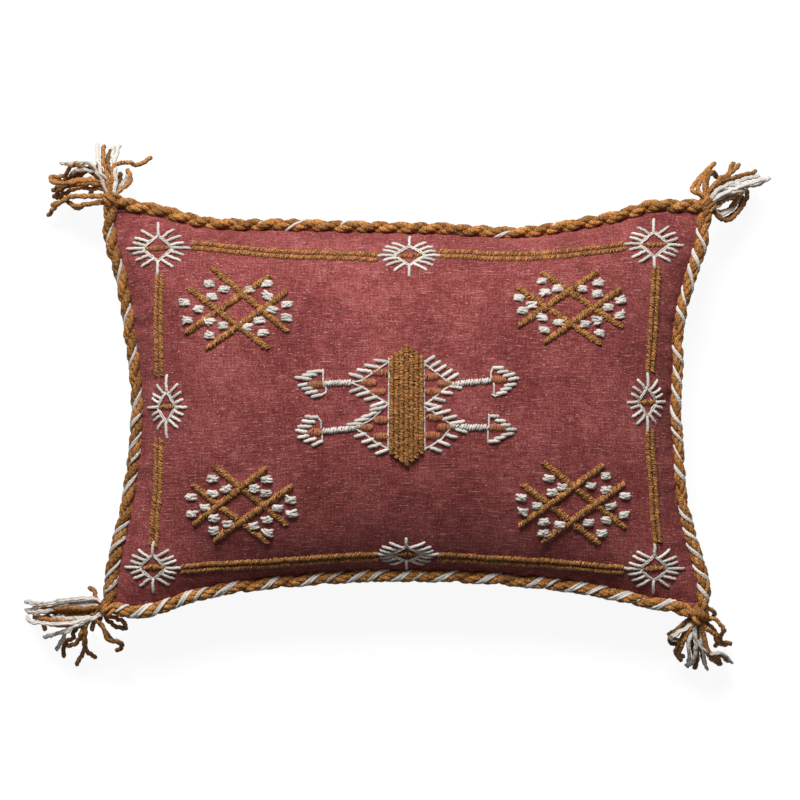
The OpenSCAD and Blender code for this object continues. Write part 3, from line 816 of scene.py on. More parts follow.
def whipped(yarn, path, width, pitch, slant, lift, radius, jitter, swell=0.0, power=1.0):
    """Close stitches across a path, each leaning along it, which cover it like a rope.
    The rope is width wide at its ends and swells by a share of that towards its middle."""
    line = resampled(path, pitch)
    along, across = leads(line)
    bulge = np.clip(np.sin(math.pi * np.linspace(0, 1, len(line))), 0, 1) ** power
    spread = width * (1 + swell * bulge)
    half = across * spread[:, None] / 2 + along * slant / 2
    nudge = rng.normal(0, jitter, (2, *line.shape))
    stitch(yarn, line - half + nudge[0], line + half + nudge[1], lift, radius, steps=6, wobble=jitter)


def stem(yarn, path, radius=0.85, length=5.0, lift=1.1):
    """A line of short stitches, each starting beside the one before."""
    line = resampled(path, length * 0.55)
    along, across = leads(line)
    half = along * length / 2 + across * 0.35
    stitch(yarn, line - half, line + half, lift, radius, steps=6)


# ---- embroidery: stars ----
# centre x, centre y, half width and half height of each star
STARS = (
    (-248, 156, 32, 27),
    (3, 148, 33, 20),
    (247, 160, 31, 26),
    (-238, -2, 20, 32),
    (239, 3, 20, 31),
    (-253, -162, 29, 26),
    (0, -148, 33, 16),
    (247, -163, 31, 26),
)
# how far along a diamond's side each ray starts, from its point, and the ray's angle
RAYS = ((0.22, 38), (0.5, 25), (0.78, 17))


def star(yarn, x, y, half_x, half_y):
    """A diamond with a ray at each point and three along each side."""
    centre = np.array([x, y])
    inner = np.array([0.48 * half_x, 0.49 * half_y])
    tips = [np.array(tip) * inner for tip in ((0, 1), (1, 0), (0, -1), (-1, 0))]
    for a, b in zip(tips, tips[1:] + tips[:1]):
        a, b = np.array([centre + a]), np.array([centre + b])
        stitch(yarn, *doubled(a, b, 1.4), 1.2, 0.8, steps=12, wobble=0.25)
    starts, ends = [], []
    for sx, sy in ((1, 1), (1, -1), (-1, 1), (-1, -1)):
        for share, angle in RAYS:
            root = np.array([sx * share, sy * (1 - share)]) * inner
            tilt = math.radians(angle + rng.normal(0, 3))
            reach = np.array([half_x - inner[0], half_y - inner[1]]) * (1.0 if share < 0.7 else 0.85)
            starts.append(centre + root)
            ends.append(centre + root + np.array([sx * math.cos(tilt), sy * math.sin(tilt)]) * reach)
    for k, tip in enumerate(tips):
        reach = tip / (0.49 if k % 2 == 0 else 0.48)
        starts.append(centre + tip * 0.9)
        ends.append(centre + reach)
    thick_stitch(yarn, starts, ends)


def stars():
    """The eight stars, each with a bar in its diamond."""
    rays, bars = Yarn(), Yarn()
    for x, y, half_x, half_y in STARS:
        star(rays, x, y, half_x, half_y)
        half = 0.36 * half_x
        path = [(x - half, y - 0.5), (x + half, y + 0.5)]
        width = 0.6 * min(4.6, 0.2 * half_y)
        whipped(bars, path, width, 1.45, 1.2, 1.6, 0.75, 0.35, swell=0.5 / 0.6)
    rays.build("star_rays_yarn", WHITE, "pillow", "white_yarn", "star_rays")
    bars.build("star_bars_yarn", OLIVE, "pillow", "olive_mustard_yarn", "star_bars")


# ---- embroidery: the double border ----
BORDER_GAP = 5.2
BORDER_RUNS = (
    ((-214, 159), (-122, 150), (-29, 147)),
    ((34, 150), (129, 148), (217, 158)),
    ((-246, 128), (-247, 80), (-246, 30)),
    ((-246, -34), (-248, -85), (-252, -140)),
    ((249, 137), (246, 85), (242, 33)),
    ((242, -26), (245, -80), (250, -137)),
    ((-224, -163), (-130, -157), (-29, -150)),
    ((32, -151), (130, -157), (215, -164)),
)


def border():
    """Two ropes side by side along each run."""
    yarn = Yarn()
    for run in BORDER_RUNS:
        line = curve_through(run, 60)
        line = line + 0.5 * np.stack([ripples(line[:, 1], 60, 5), ripples(line[:, 0], 60, 6)], -1)
        across = leads(line)[1] * BORDER_GAP / 2
        for side in (-1, 1):
            whipped(yarn, line + across * side, 4.2, 1.4, 2.4, 1.6, 0.75, 0.28)
    yarn.build("border_yarn", OLIVE, "pillow", "olive_mustard_yarn", "border_lines")


# ---- embroidery: lattices ----
# each lattice's middle, and its bars: two falling to the right, then two rising
LATTICES = (
    ((-168, 95), ((-26, 42, 50, -22), (-48, 21, 31, -39), (32, 32, -50, -23), (50, 17, -29, -39))),
    ((163, 98), ((-28, 33, 50, -21), (-53, 18, 28, -37), (26, 34, -53, -20), (49, 17, -27, -36))),
    ((-164, -99), ((-26, 39, 44, -18), (-48, 20, 26, -37), (25, 36, -47, -19), (51, 19, -27, -35))),
    ((165, -98), ((-30, 41, 51, -23), (-51, 20, 26, -39), (29, 38, -53, -21), (50, 20, -30, -37))),
)
LATTICE_WIDTH = 6.8
# the knots round each lattice's middle, left ones first, from the top down
KNOTS = (
    (
        (-28, 25), (-13, 19), (-25, 12), (-53, 7), (-38, 0), (-49, -11), (-27, -12), (-14, -17), (-27, -26),
        (13, 19), (30, 25), (30, 12), (50, 4), (35, -1), (50, -9), (23, -12), (11, -18), (26, -24),
    ),
    (
        (-29, 24), (-13, 17), (-26, 13), (-52, 8), (-39, 1), (-48, -5), (-29, -12), (-13, -17), (-27, -24),
        (11, 17), (28, 23), (26, 12), (50, 6), (37, -1), (49, -9), (26, -14), (13, -18), (28, -27),
    ),
    (
        (-28, 26), (-14, 16), (-28, 12), (-50, 8), (-35, -2), (-49, -9), (-27, -13), (-13, -19), (-27, -25),
        (13, 17), (26, 26), (25, 12), (50, 6), (36, -2), (50, -8), (26, -14), (12, -20), (27, -27),
    ),
    (
        (-24, 26), (-10, 17), (-21, 12), (-52, 7), (-36, -1), (-50, -7), (-30, -17), (-13, -20), (-29, -28),
        (17, 18), (32, 28), (33, 14), (52, 8), (38, -2), (51, -11), (33, -16), (15, -18), (29, -29),
    ),
)


def lattice_bar(yarn, a, b, raised):
    """A rope of tufted yarn, higher where it passes over another."""
    line = resampled([a, b], 1.5)
    ends = 0.6 * LATTICE_WIDTH
    whipped(yarn, line, ends, 1.5, 3.2, 1.9 + raised, 0.8, 0.42, swell=0.4 / 0.6, power=0.25)
    whipped(yarn, line, 0.7 * ends, 2.2, 1.6, 2.4 + raised, 0.6, 0.65, swell=0.4 / 0.6, power=0.25)


def knot_block(yarn, x, y):
    """A small block of thick short strands side by side, with a few loose ones over them."""
    turn = rng.normal(0, 0.14)
    along = np.array([math.cos(turn), math.sin(turn)])
    across = np.array([-along[1], along[0]])
    starts, ends = [], []
    for row in (-2.0, 0.0, 2.0):
        half = rng.uniform(3.9, 5.2)
        middle = np.array([x, y]) + across * (row + rng.normal(0, 0.2)) + along * rng.normal(0, 0.5)
        starts.append(middle - along * half + rng.normal(0, 0.3, 2))
        ends.append(middle + along * half + rng.normal(0, 0.3, 2))
    stitch(yarn, starts, ends, 1.9, 1.5, steps=9, sides=8, dip=0.5, wobble=0.25, lobes=2, depth=0.14, lay=5.0)
    loose = np.array([x, y]) + rng.normal(0, 1.2, (5, 2))
    half = along * rng.uniform(2.0, 4.2, (5, 1))
    lean = across * rng.normal(0, 1.1, (5, 1))
    stitch(yarn, loose - half - lean, loose + half + lean, 2.9, 1.15, steps=9, sides=7, dip=0.4, wobble=0.35)


def lattices():
    """The four lattices and the knot stitches in them."""
    bars, knots = Yarn(), Yarn()
    for (middle, lines), spots in zip(LATTICES, KNOTS):
        for k, (ax, ay, bx, by) in enumerate(lines):
            a, b = np.add(middle, (ax, ay)), np.add(middle, (bx, by))
            lattice_bar(bars, a, b, 0.0 if k < 2 else 0.9)
        for spot in spots:
            knot_block(knots, *np.add(middle, spot))
    bars.build("lattice_bars_yarn", OLIVE, "pillow", "olive_mustard_yarn", "lattice_bars")
    knots.build("lattice_knots_yarn", WHITE, "pillow", "white_yarn", "lattice_knots")


# ---- embroidery: the middle motif ----
HEXAGON_HALF = 17.0
HEXAGON_TIP = 58.5
HEXAGON_SHOULDER = 45.0
HEXAGON_ROWS = 7
# the white lines that the stitches stand out of, left then right
DIAMOND_LINES = (
    ((-18, 42), (-34, 31), (-44, 24), (-54, 22), (-41, 16), (-28, 7), (-19, 2)),
    ((-19, 0), (-28, -8), (-34, -14), (-44, -19), (-52, -22), (-42, -28), (-30, -37), (-18, -43)),
    ((17, 41), (26, 34), (39, 24), (46, 21), (35, 14), (26, 6), (18, 1)),
    ((18, -2), (28, -8), (38, -15), (45, -20), (35, -33), (26, -39), (18, -43)),
    ((-17, 44), (-18, -43)),
    ((17, 44), (18, -43)),
)
# rows of stitches: where the row's roots start and end, how many, their angle and their length
DIAMOND_STITCHES = (
    ((-18, 42), (-43, 27), 4, 168, 14),
    ((-42, 18), (-22, 3), 4, 196, 14),
    ((-21, -2), (-44, -18), 4, 190, 15),
    ((-40, -28), (-18, -43), 4, 200, 12),
    ((17, 41), (40, 24), 5, 31, 12),
    ((42, 19), (18, 1), 4, -7, 12),
    ((20, -5), (42, -19), 4, 14, 15),
    ((48, -23), (22, -41), 4, -19, 12),
)
ARMS = (
    ((-56, 22), (-81, 21)),
    ((-46, -20), (-56, -23), (-82, -26)),
    ((46, 20), (58, 22), (82, 24)),
    ((45, -20), (61, -22), (80, -22)),
)
CROWN_LINES = (
    ((-82, 33), (-82, 20)),
    ((-83, 10), (-79, 13), (-80, 19)),
    ((-87, -12), (-84, -17), (-84, -22)),
    ((-83, -35), (-83, -28)),
    ((83, 25), (83, 32), (85, 36)),
    ((86, 20), (86, 9), (91, 10)),
    ((81, -19), (81, -11)),
    ((80, -26), (80, -36)),
)
CROWN_STITCHES = (
    ((-82, 33), (-94, 26), 3, 181, 15),
    ((-97, 21), (-84, 10), 4, 194, 10),
    ((-87, -12), (-97, -26), 4, 177, 12),
    ((-96, -29), (-83, -35), 3, 200, 11),
    ((85, 36), (100, 25), 4, 8, 10),
    ((97, 19), (89, 11), 3, 6, 10),
    ((82, -11), (98, -24), 4, -2, 9),
    ((94, -30), (80, -36), 3, 5, 11),
)
RUST_WIDTH = 8.2
# middles and lengths of the satin blocks
RUST_BLOCKS = (
    (-26, 32, 14), (-37, 22, 13), (-28, 13, 14), (-25, -15, 14), (-40, -22, 12), (-25, -31, 13),
    (24, 28, 13), (38, 21, 13), (26, 13, 14), (28, -12, 14), (38, -22, 14), (25, -30, 14),
    (-90, 20, 14), (-91, -27, 14), (90, 25, 14), (89, -22, 16),
)


def comb(yarn, rows):
    """Rows of plump stitches that stand out of a line like a comb's teeth."""
    starts, ends = [], []
    for first, last, count, angle, length in rows:
        for k in range(count):
            root = np.array(first) + (np.array(last) - first) * k / (count - 1)
            tilt = math.radians(angle + rng.normal(0, 3))
            reach = length * rng.uniform(0.92, 1.08)
            starts.append(root)
            ends.append(root + reach * np.array([math.cos(tilt), math.sin(tilt)]))
    thick_stitch(yarn, starts, ends, lift=1.4, radius=1.8)


def centre_bar():
    """A long hexagon of close raised loops, in seven rows."""
    yarn = Yarn()
    step = 2 * HEXAGON_HALF / HEXAGON_ROWS
    for k in range(HEXAGON_ROWS):
        x = (k + 0.5) * step - HEXAGON_HALF
        top = HEXAGON_TIP - (HEXAGON_TIP - HEXAGON_SHOULDER) * abs(x) / HEXAGON_HALF
        path = [(x, -top), (x, top)]
        whipped(yarn, path, step, 1.2, 1.2, 3.8, 0.85, 0.34)
        whipped(yarn, path, step * 0.55, 1.3, -1.0, 4.1, 0.65, 0.3)
    yarn.build("centre_bar_yarn", OLIVE, "pillow", "olive_mustard_yarn", "centre_bar")


def middle_motif():
    """The centre bar, and the zigzags, arms, crowns and satin blocks on both sides of it."""
    centre_bar()
    lines, combs, arms, crowns, blocks = (Yarn() for _ in range(5))
    for path in DIAMOND_LINES:
        stem(lines, path)
    comb(combs, DIAMOND_STITCHES)
    for path in ARMS:
        whipped(arms, path, 5.0, 2.5, 2.2, 2.2, 1.2, 0.3)
    for path in CROWN_LINES:
        stem(crowns, path)
    comb(crowns, CROWN_STITCHES)
    for x, y, length in RUST_BLOCKS:
        path = [(x - length / 2, y), (x + length / 2, y)]
        whipped(blocks, path, 0.6 * RUST_WIDTH, 1.35, 0.3, 1.7, 0.8, 0.25, swell=0.4 / 0.6, power=0.5)
    lines.build("diamond_lines_yarn", WHITE, "pillow", "white_yarn", "zigzag_lines")
    combs.build("diamond_stitches_yarn", WHITE, "pillow", "white_yarn", "branch_stitches")
    arms.build("whipped_arms_yarn", WHITE, "pillow", "white_yarn", "whipped_arms")
    crowns.build("crown_stitches_yarn", WHITE, "pillow", "white_yarn", "crown_stitches")
    blocks.build("rust_blocks_yarn", RUST, "pillow", "rust_yarn", "rust_stitches")


# ---- edge cord: two twisted mustard plies, with bundles of white yarns in their grooves ----
CORD_OUT = 5.0
PLY_OFFSET = 2.6
STRAND_OFFSET = 1.9
STRAND_RADIUS = 2.6
STRAND_LAY = 22.0
CORD_STEP = 1.1
# steps along the seam between the points that the cord follows
SEAM_SKIP = 23
# the white yarns go inside the cord this far from its knots' middles
WHITE_END = 14.0
KNOT_Z = SEAM_HEIGHT - CORNER_DROOP
# each corner's side in X and in Y, and how far its knot lies from the CAD's knot
CORNERS = {
    "top_left": (-1, 1, 3, 6),
    "top_right": (1, 1, 2, 0),
    "bottom_left": (-1, -1, -1, 5),
    "bottom_right": (1, -1, -5, -3),
}


def knot_middle(name):
    """The middle of a corner's knot."""
    low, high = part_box("knot_" + name)
    middle = (np.array(low) + np.array(high)) / 2 / MM
    return np.array([middle[0] + CORNERS[name][2], middle[1] + CORNERS[name][3], KNOT_Z])


def seam_line(u, v):
    """The seam where u, v runs along it."""
    u, v = np.broadcast_arrays(u, v)
    return np.stack([*outline(u, v), seam_z(u, v)], -1)


def outwards(seam, side):
    """Level unit vectors square to a seam line, away from the pillow."""
    across = leads(seam[:, :2])[1]
    return np.stack([across[:, 0], across[:, 1], 0 * across[:, 0]], -1) * side


def cord_path(seam, side, first, last):
    """The cord's middle line: the seam moved outwards, and led into the knots at both ends."""
    line = seam + CORD_OUT * outwards(seam, side)
    inner = line[SEAM_SKIP + 1 : -SEAM_SKIP - 1 : SEAM_SKIP]
    return curve_through([knot_middle(first), *inner, knot_middle(last)], 900)


def wound(path, radius, turns):
    """A line wound round a path: radius and turns are given at each of its points."""
    tangent, normal = (a[0] for a in carried_frames(path[None]))
    side = np.cross(tangent, normal)
    angle = (TAU * np.asarray(turns))[:, None]
    return path + np.asarray(radius)[..., None] * (np.cos(angle) * normal + np.sin(angle) * side)


def edge_cord(name, node, path, pitch, hand, phase, thick, *bundles):
    """One edge's cord. pitch is a full turn's length, and thick its size in the middle and at the ends.
    A bundle of white yarns has a place round the cord, a number of yarns, how far it shows at the
    start and at the end, and the spots where it shows, or none where it shows all along."""
    path = resampled(path, CORD_STEP)
    path[:, :2] += 0.35 * np.stack([ripples(path[:, 1], 47, 8), ripples(path[:, 0], 53, 9)], -1)
    arc = np.arange(len(path)) * CORD_STEP
    share = arc / arc[-1]
    size = thick[0] + (thick[1] - thick[0]) * np.abs(2 * share - 1) ** 2
    turns = hand * (arc / pitch + 0.06 * ripples(arc, 70, 21)) + phase
    mustard, white = Yarn(), Yarn()
    for ply in (0.0, 0.5):
        middle = wound(path, PLY_OFFSET * size, turns + ply)
        strands = [wound(middle, STRAND_OFFSET * size, -hand * arc / STRAND_LAY + k / 3) for k in range(3)]
        mustard.add(strands, STRAND_RADIUS * size, sides=14, lobes=5, depth=0.07, lay=9.0)
        add_fuzz(mustard, np.array(strands), 2.3, 1.6, 2.4)
    for turn, count, (first, last), spots in bundles:
        shown = first + (last - first) * share
        if spots:
            shown = shown * np.clip(sum(np.exp(-(((share - at) / half) ** 4)) for at, half in spots), 0, 1)
        level = shown * ease(np.minimum(arc, arc[-1] - arc) / WHITE_END)
        thickness = 0.6 + 0.8 * level
        yarns = []
        for offset in 0.036 * (np.arange(count) - (count - 1) / 2):
            out = size * (1.8 + 3.9 * level) + 0.5 * ripples(arc, 31, rng.integers(99))
            drift = 0.02 * ripples(arc, 37, rng.integers(99))
            yarns.append(wound(path, out, turns + turn + drift + offset * thickness))
        white.add(yarns, thickness, sides=8, lobes=2, depth=0.08, lay=4.0)
        add_fuzz(white, np.array(yarns), 1.3, 8, 2.0, 0.08)
    mustard.build(name, CORD_MUSTARD_SHADED, "pillow", "plaited_cord", node)
    white.build(name + "_white", WHITE, "pillow", "white_yarn")


# the spots where a bundle of white yarns shows: a place along the edge and a half width
TOP_SPOTS = (
    (0.29, 0.035), (0.345, 0.022), (0.4, 0.012), (0.56, 0.025), (0.64, 0.025), (0.7, 0.02), (0.76, 0.02)
)
BOTTOM_SPOTS = ((0.1, 0.12), (0.45, 0.1), (0.8, 0.1))
RIGHT_SPOTS = ((0.15, 0.1), (0.5, 0.12), (0.85, 0.1))
LEFT_SPOTS = ((0.12, 0.12), (0.42, 0.08))


def edge_cords():
    """The four lengths of cord, from corner to corner."""
    along = np.linspace(-1, 1, 601)
    top = cord_path(seam_line(along, 1.0), 1, "top_left", "top_right")
    bottom = cord_path(seam_line(along, -1.0), -1, "bottom_left", "bottom_right")
    right = cord_path(seam_line(1.0, along), -1, "bottom_right", "top_right")
    left = cord_path(seam_line(-1.0, along), 1, "bottom_left", "top_left")
    edge_cord(
        "edge_cord_top_yarn", "edge_cord_top", top, 42, -1, 0.0, (0.92, 1.05),
        (0.25, 2, (1.0, 1.0), TOP_SPOTS),
    )
    edge_cord(
        "edge_cord_bottom_yarn", "edge_cord_bottom", bottom, 44, -1, 0.3, (0.95, 1.05),
        (0.25, 3, (0.95, 0.95), ()), (0.68, 2, (1.0, 1.0), BOTTOM_SPOTS),
    )
    edge_cord(
        "edge_cord_right_yarn", "edge_cord_right", right, 40, -1, 0.1, (0.85, 1.15),
        (0.25, 2, (0.95, 0.95), ()), (0.72, 2, (1.0, 1.0), RIGHT_SPOTS),
    )
    edge_cord(
        "edge_cord_left_yarn", "edge_cord_left", left, 43, 1, 0.6, (0.97, 1.08),
        (0.25, 2, (1.0, 0.5), ()), (0.65, 2, (1.0, 1.0), LEFT_SPOTS),
    )


def seam_flange():
    """The seam's own narrow edge of cotton, under the cord all the way round."""
    along = np.linspace(-1, 1, 241)[:-1]
    seam = np.concatenate([
        seam_line(along, 1.0), seam_line(1.0, -along), seam_line(-along, -1.0), seam_line(-1.0, along)
    ])
    along = np.roll(seam, -1, axis=0) - np.roll(seam, 1, axis=0)
    out = unit(np.stack([-along[:, 1], along[:, 0], 0 * along[:, 0]], -1))
    points = np.stack([seam - 1.5 * out, seam + 1.5 * out, seam + 4.5 * out], 1)
    index = np.arange(points.shape[0] * 3).reshape(-1, 3)
    index = np.concatenate([index, index[:1]])
    flange = mesh_piece("seam_flange", points, quads(index)[:, ::-1], points[..., :2].reshape(-1, 2) * MM)
    place(flange, COTTON, "pillow", "rose_cotton")
    thicken(flange, 0.8)


# ---- corner tassels: a bound knot, and loose strands that droop to the floor ----
MUSTARD_STRAND = 2.2
WHITE_STRAND = 1.35
STRAND_STEPS = 44
# how much further out the strands lie than their way points
WAY_SCALE = 1.05
# way points of each strand from its knot, corner by corner; the last one is its tip
MUSTARD_WAYS = {
    "top_left": (
        ((-302, 235), (-305, 249), (-306, 259)), ((-296, 229), (-301, 242), (-300, 255)),
        ((-294, 237), (-281, 242), (-272, 240), (-260, 247)),
        ((-288, 215), (-281, 221), (-279, 226), (-283, 237)),
        ((-292, 218), (-289, 226), (-289, 233)), ((-302, 225), (-309, 237), (-311, 241)),
        ((-302, 225), (-313, 236), (-323, 236), (-330, 232), (-340, 226)),
        ((-304, 223), (-323, 237), (-331, 240), (-338, 237), (-342, 228), (-343, 222)),
        ((-304, 222), (-321, 224), (-342, 222), (-354, 224), (-355, 229), (-343, 230)),
        ((-304, 222), (-323, 226), (-343, 222), (-355, 217)),
        ((-304, 220), (-321, 221), (-336, 220), (-346, 217), (-354, 210)),
        ((-304, 217), (-317, 217), (-330, 218), (-343, 213), (-351, 212)),
        ((-304, 210), (-321, 209), (-336, 210), (-346, 205), (-355, 203)),
        ((-304, 209), (-323, 210), (-339, 208), (-352, 200), (-359, 193)),
        ((-304, 204), (-315, 203), (-330, 200), (-338, 204), (-343, 208), (-351, 210)),
        ((-304, 203), (-321, 202), (-330, 199), (-339, 205)),
        ((-304, 216), (-315, 217), (-318, 213)), ((-302, 228), (-318, 235), (-334, 226), (-354, 226)),
    ),
    "top_right": (
        ((297, 209), (288, 216), (299, 231), (312, 243)), ((299, 207), (293, 217), (301, 231), (307, 237)),
        ((301, 207), (299, 223), (307, 232), (313, 231)), ((301, 209), (313, 225), (323, 231), (329, 243)),
        ((302, 211), (315, 225), (327, 233), (335, 241)), ((303, 213), (315, 223), (333, 229), (351, 234)),
        ((303, 211), (317, 221), (337, 230)), ((307, 195), (319, 186), (329, 191), (341, 207), (343, 217)),
        ((307, 195), (319, 188), (333, 197), (339, 211)),
        ((311, 203), (323, 209), (333, 211), (323, 197), (313, 195)), ((313, 201), (321, 207), (333, 209)),
        ((303, 227), (309, 233), (313, 229)),
    ),
    "bottom_left": (
        ((-313, -205), (-343, -206), (-374, -205)), ((-315, -207), (-343, -209), (-372, -209)),
        ((-315, -209), (-343, -213), (-374, -214)),
        ((-315, -211), (-339, -217), (-363, -215), (-371, -219)),
        ((-316, -213), (-339, -221), (-361, -220), (-363, -226)),
        ((-315, -204), (-335, -204), (-359, -205), (-369, -205)),
        ((-319, -215), (-332, -226), (-334, -233), (-343, -239), (-345, -252)),
        ((-319, -217), (-326, -228), (-327, -234), (-337, -241), (-343, -239)),
        ((-319, -217), (-323, -228), (-323, -242), (-332, -260)),
        ((-319, -217), (-321, -225), (-323, -239), (-321, -247), (-315, -253)),
        ((-311, -213), (-303, -223), (-300, -234), (-289, -236), (-287, -241), (-292, -245)),
        ((-308, -215), (-301, -228), (-299, -233), (-291, -238), (-288, -241)),
        ((-305, -209), (-294, -213), (-286, -218), (-285, -225)),
        ((-302, -212), (-295, -221), (-287, -225)),
        ((-308, -213), (-315, -220), (-318, -226)), ((-310, -196), (-313, -188), (-319, -186)),
    ),
    "bottom_right": (
        ((293, -217), (293, -227), (295, -238), (298, -248), (302, -260)),
        ((292, -218), (292, -233), (294, -246), (293, -263)),
        ((289, -214), (286, -227), (289, -242), (292, -264)),
        ((285, -214), (271, -227), (266, -236), (273, -239), (288, -233)),
        ((286, -217), (279, -224), (271, -233), (275, -237)), ((282, -217), (271, -228), (267, -231)),
        ((283, -222), (274, -241), (273, -248), (279, -256)),
        ((284, -226), (278, -239), (276, -250), (281, -253)),
        ((298, -215), (307, -224), (314, -233), (317, -238), (326, -240)),
        ((299, -222), (308, -229), (314, -239), (322, -241)),
        ((299, -209), (303, -205), (309, -209), (308, -215), (302, -217)),
        ((309, -215), (317, -224), (318, -227), (314, -236), (312, -243)),
        ((296, -220), (303, -248), (312, -253), (317, -260)),
        ((296, -222), (304, -247), (317, -251), (324, -257)),
        ((297, -226), (304, -250), (309, -255), (316, -260)),
    ),
}
WHITE_WAYS = {
    "top_left": (
        ((-308, 237), (-311, 251), (-312, 262)), ((-292, 222), (-294, 242), (-290, 260)),
        ((-293, 235), (-296, 249), (-296, 259)), ((-313, 237), (-323, 242), (-347, 242)),
        ((-302, 228), (-321, 235), (-334, 234), (-339, 229)), ((-290, 218), (-284, 226), (-283, 233)),
    ),
    "top_right": (
        ((303, 203), (311, 215), (327, 221), (349, 221), (363, 229)),
        ((303, 205), (313, 217), (333, 225), (353, 231)), ((305, 201), (315, 213), (333, 219), (353, 225)),
        ((307, 197), (319, 207), (335, 213), (339, 219)), ((307, 199), (313, 193), (327, 199), (335, 213)),
        ((305, 205), (323, 215), (345, 223), (357, 227)), ((305, 203), (319, 211), (337, 217), (344, 224)),
    ),
    "bottom_left": (
        ((-313, -194), (-339, -195), (-363, -200), (-382, -199)),
        ((-313, -196), (-339, -197), (-359, -200), (-380, -198)),
        ((-313, -198), (-337, -200), (-361, -204), (-382, -207)),
        ((-313, -200), (-337, -202), (-367, -208), (-380, -209)),
        ((-316, -211), (-331, -213), (-350, -213), (-360, -213)),
        ((-316, -211), (-340, -218), (-374, -217), (-379, -213)),
        ((-318, -214), (-339, -224), (-352, -229), (-364, -233)),
        ((-320, -214), (-338, -224), (-345, -234), (-352, -245)),
        ((-316, -214), (-321, -218), (-326, -229)),
    ),
    "bottom_right": (
        ((286, -219), (271, -228), (267, -232), (267, -236), (274, -237)),
        ((286, -218), (273, -225), (266, -231)),
        ((288, -218), (288, -227), (293, -238), (303, -247), (314, -247), (322, -252), (326, -257)),
        ((288, -214), (283, -239), (285, -251), (284, -261)),
        ((289, -216), (290, -242), (288, -256), (283, -260)),
        ((294, -218), (296, -235), (300, -258), (303, -264)),
    ),
}


def strand(way, knot, radius, lowest, arch):
    """One loose strand: out of its knot, over a low arch and down to its tip.
    lowest is the least height of its tip, and arch the least height of its arch."""
    start = knot[:2] + rng.normal(0, 1.6, 2)
    flat = curve_through([start, *(knot[:2] + WAY_SCALE * (np.array(way) - knot[:2]))], STRAND_STEPS)
    share = np.linspace(0, 1, STRAND_STEPS)
    tip = lowest + abs(rng.normal(0, 8))
    rise = rng.uniform(0, 8) + arch
    level = KNOT_Z + rng.uniform(-5, 0.5) * (1 - share)
    z = level + rise * np.sin(math.pi * share) ** 2 - (KNOT_Z - tip) * share**1.5
    line = np.concatenate([flat, z[:, None]], 1)
    arc = np.concatenate([[0], np.cumsum(np.linalg.norm(np.diff(line, axis=0), axis=1))])
    loose = 0.7 * np.clip(arc / 12, 0, 1)[:, None]
    crinkle = np.stack([ripples(arc, 11, rng.integers(1, 10**6)) for _ in range(3)], -1)
    line += loose * crinkle
    line[:, 2] = np.maximum(line[:, 2], radius + 0.6)
    return line


def tassel(name):
    """A corner's knot, its mustard strands and its white strands, as three pieces of one body."""
    body, knot = "tassel_" + name, knot_middle(name)
    mustard = [strand(way, knot, MUSTARD_STRAND, 4, 0) for way in MUSTARD_WAYS[name]]
    white = [strand(way, knot, WHITE_STRAND, 8, 3) for way in WHITE_WAYS[name]]
    radius = MUSTARD_STRAND * np.linspace(0.95, 1.05, STRAND_STEPS)
    yarn = Yarn().add(mustard, radius, sides=10, lobes=2, depth=0.09, lay=7.0)
    add_fuzz(yarn, np.array(mustard), MUSTARD_STRAND, 1.2, 2.8)
    yarn.build("tassel_mustard_" + name, TASSEL_MUSTARD, body, "mustard_yarn", "mustard_skein_" + name)
    pairs = np.array(white)
    shifted = pairs + np.array([0.9, -0.9, 0.6]) * WHITE_STRAND
    yarn = Yarn().add(np.concatenate([pairs, shifted]), WHITE_STRAND, sides=8, lobes=2, depth=0.12, lay=6.0)
    add_fuzz(yarn, pairs, WHITE_STRAND, 4, 2.4, 0.08)
    yarn.build("tassel_white_" + name, WHITE, body, "white_yarn", "white_skein_" + name)
    bound_knot(name, knot, body)


KNOT_HALF = 5.4
KNOT_TURNS = 4
TURN_RADIUS = 2.1


def bound_knot(name, middle, body):
    """Turns of yarn wound round the line that the tassel swings on, over a packed core."""
    sx, sy = CORNERS[name][:2]
    axis = unit(np.array([sx * sy, -1.0, 0.0]))
    out = np.array([-axis[1], axis[0], 0.0])
    up = np.array([0.0, 0.0, 1.0])
    yarn = Yarn()
    turn = np.linspace(0, TAU, 29)[:, None]
    for along in np.linspace(-KNOT_HALF, KNOT_HALF, KNOT_TURNS):
        reach = 3.8 + 3.0 * math.sqrt(max(0.0, 1 - (along / 8) ** 2)) + rng.normal(0, 0.3)
        lean = rng.normal(1.4, 0.5)
        ring = middle + axis * (along + lean * np.sin(turn + rng.uniform(0, TAU)))
        ring = ring + reach * (np.cos(turn) * out + np.sin(turn) * up)
        yarn.add([ring], TURN_RADIUS, sides=10, lobes=2, depth=0.09, lay=7.0)
        add_fuzz(yarn, ring[None], TURN_RADIUS, 1.6, 2.2)
    core = middle + axis * np.linspace(-5.5, 5.5, 12)[:, None]
    yarn.add([core], 6.2 * np.sqrt(1 - (np.linspace(-1, 1, 12) * 0.85) ** 2), sides=16)
    yarn.build("tassel_knot_" + name, TASSEL_MUSTARD, body, "mustard_yarn", "knot_" + name)


def tassels():
    for name in CORNERS:
        tassel(name)


# ---- zip: tapes, stitching and metal ----
# how far past the zip the tapes run, where they start beside its middle, and their depth
TAPE_PAST = 4.0
TAPE_START = 2.4
TAPE_LEVEL = -2.1


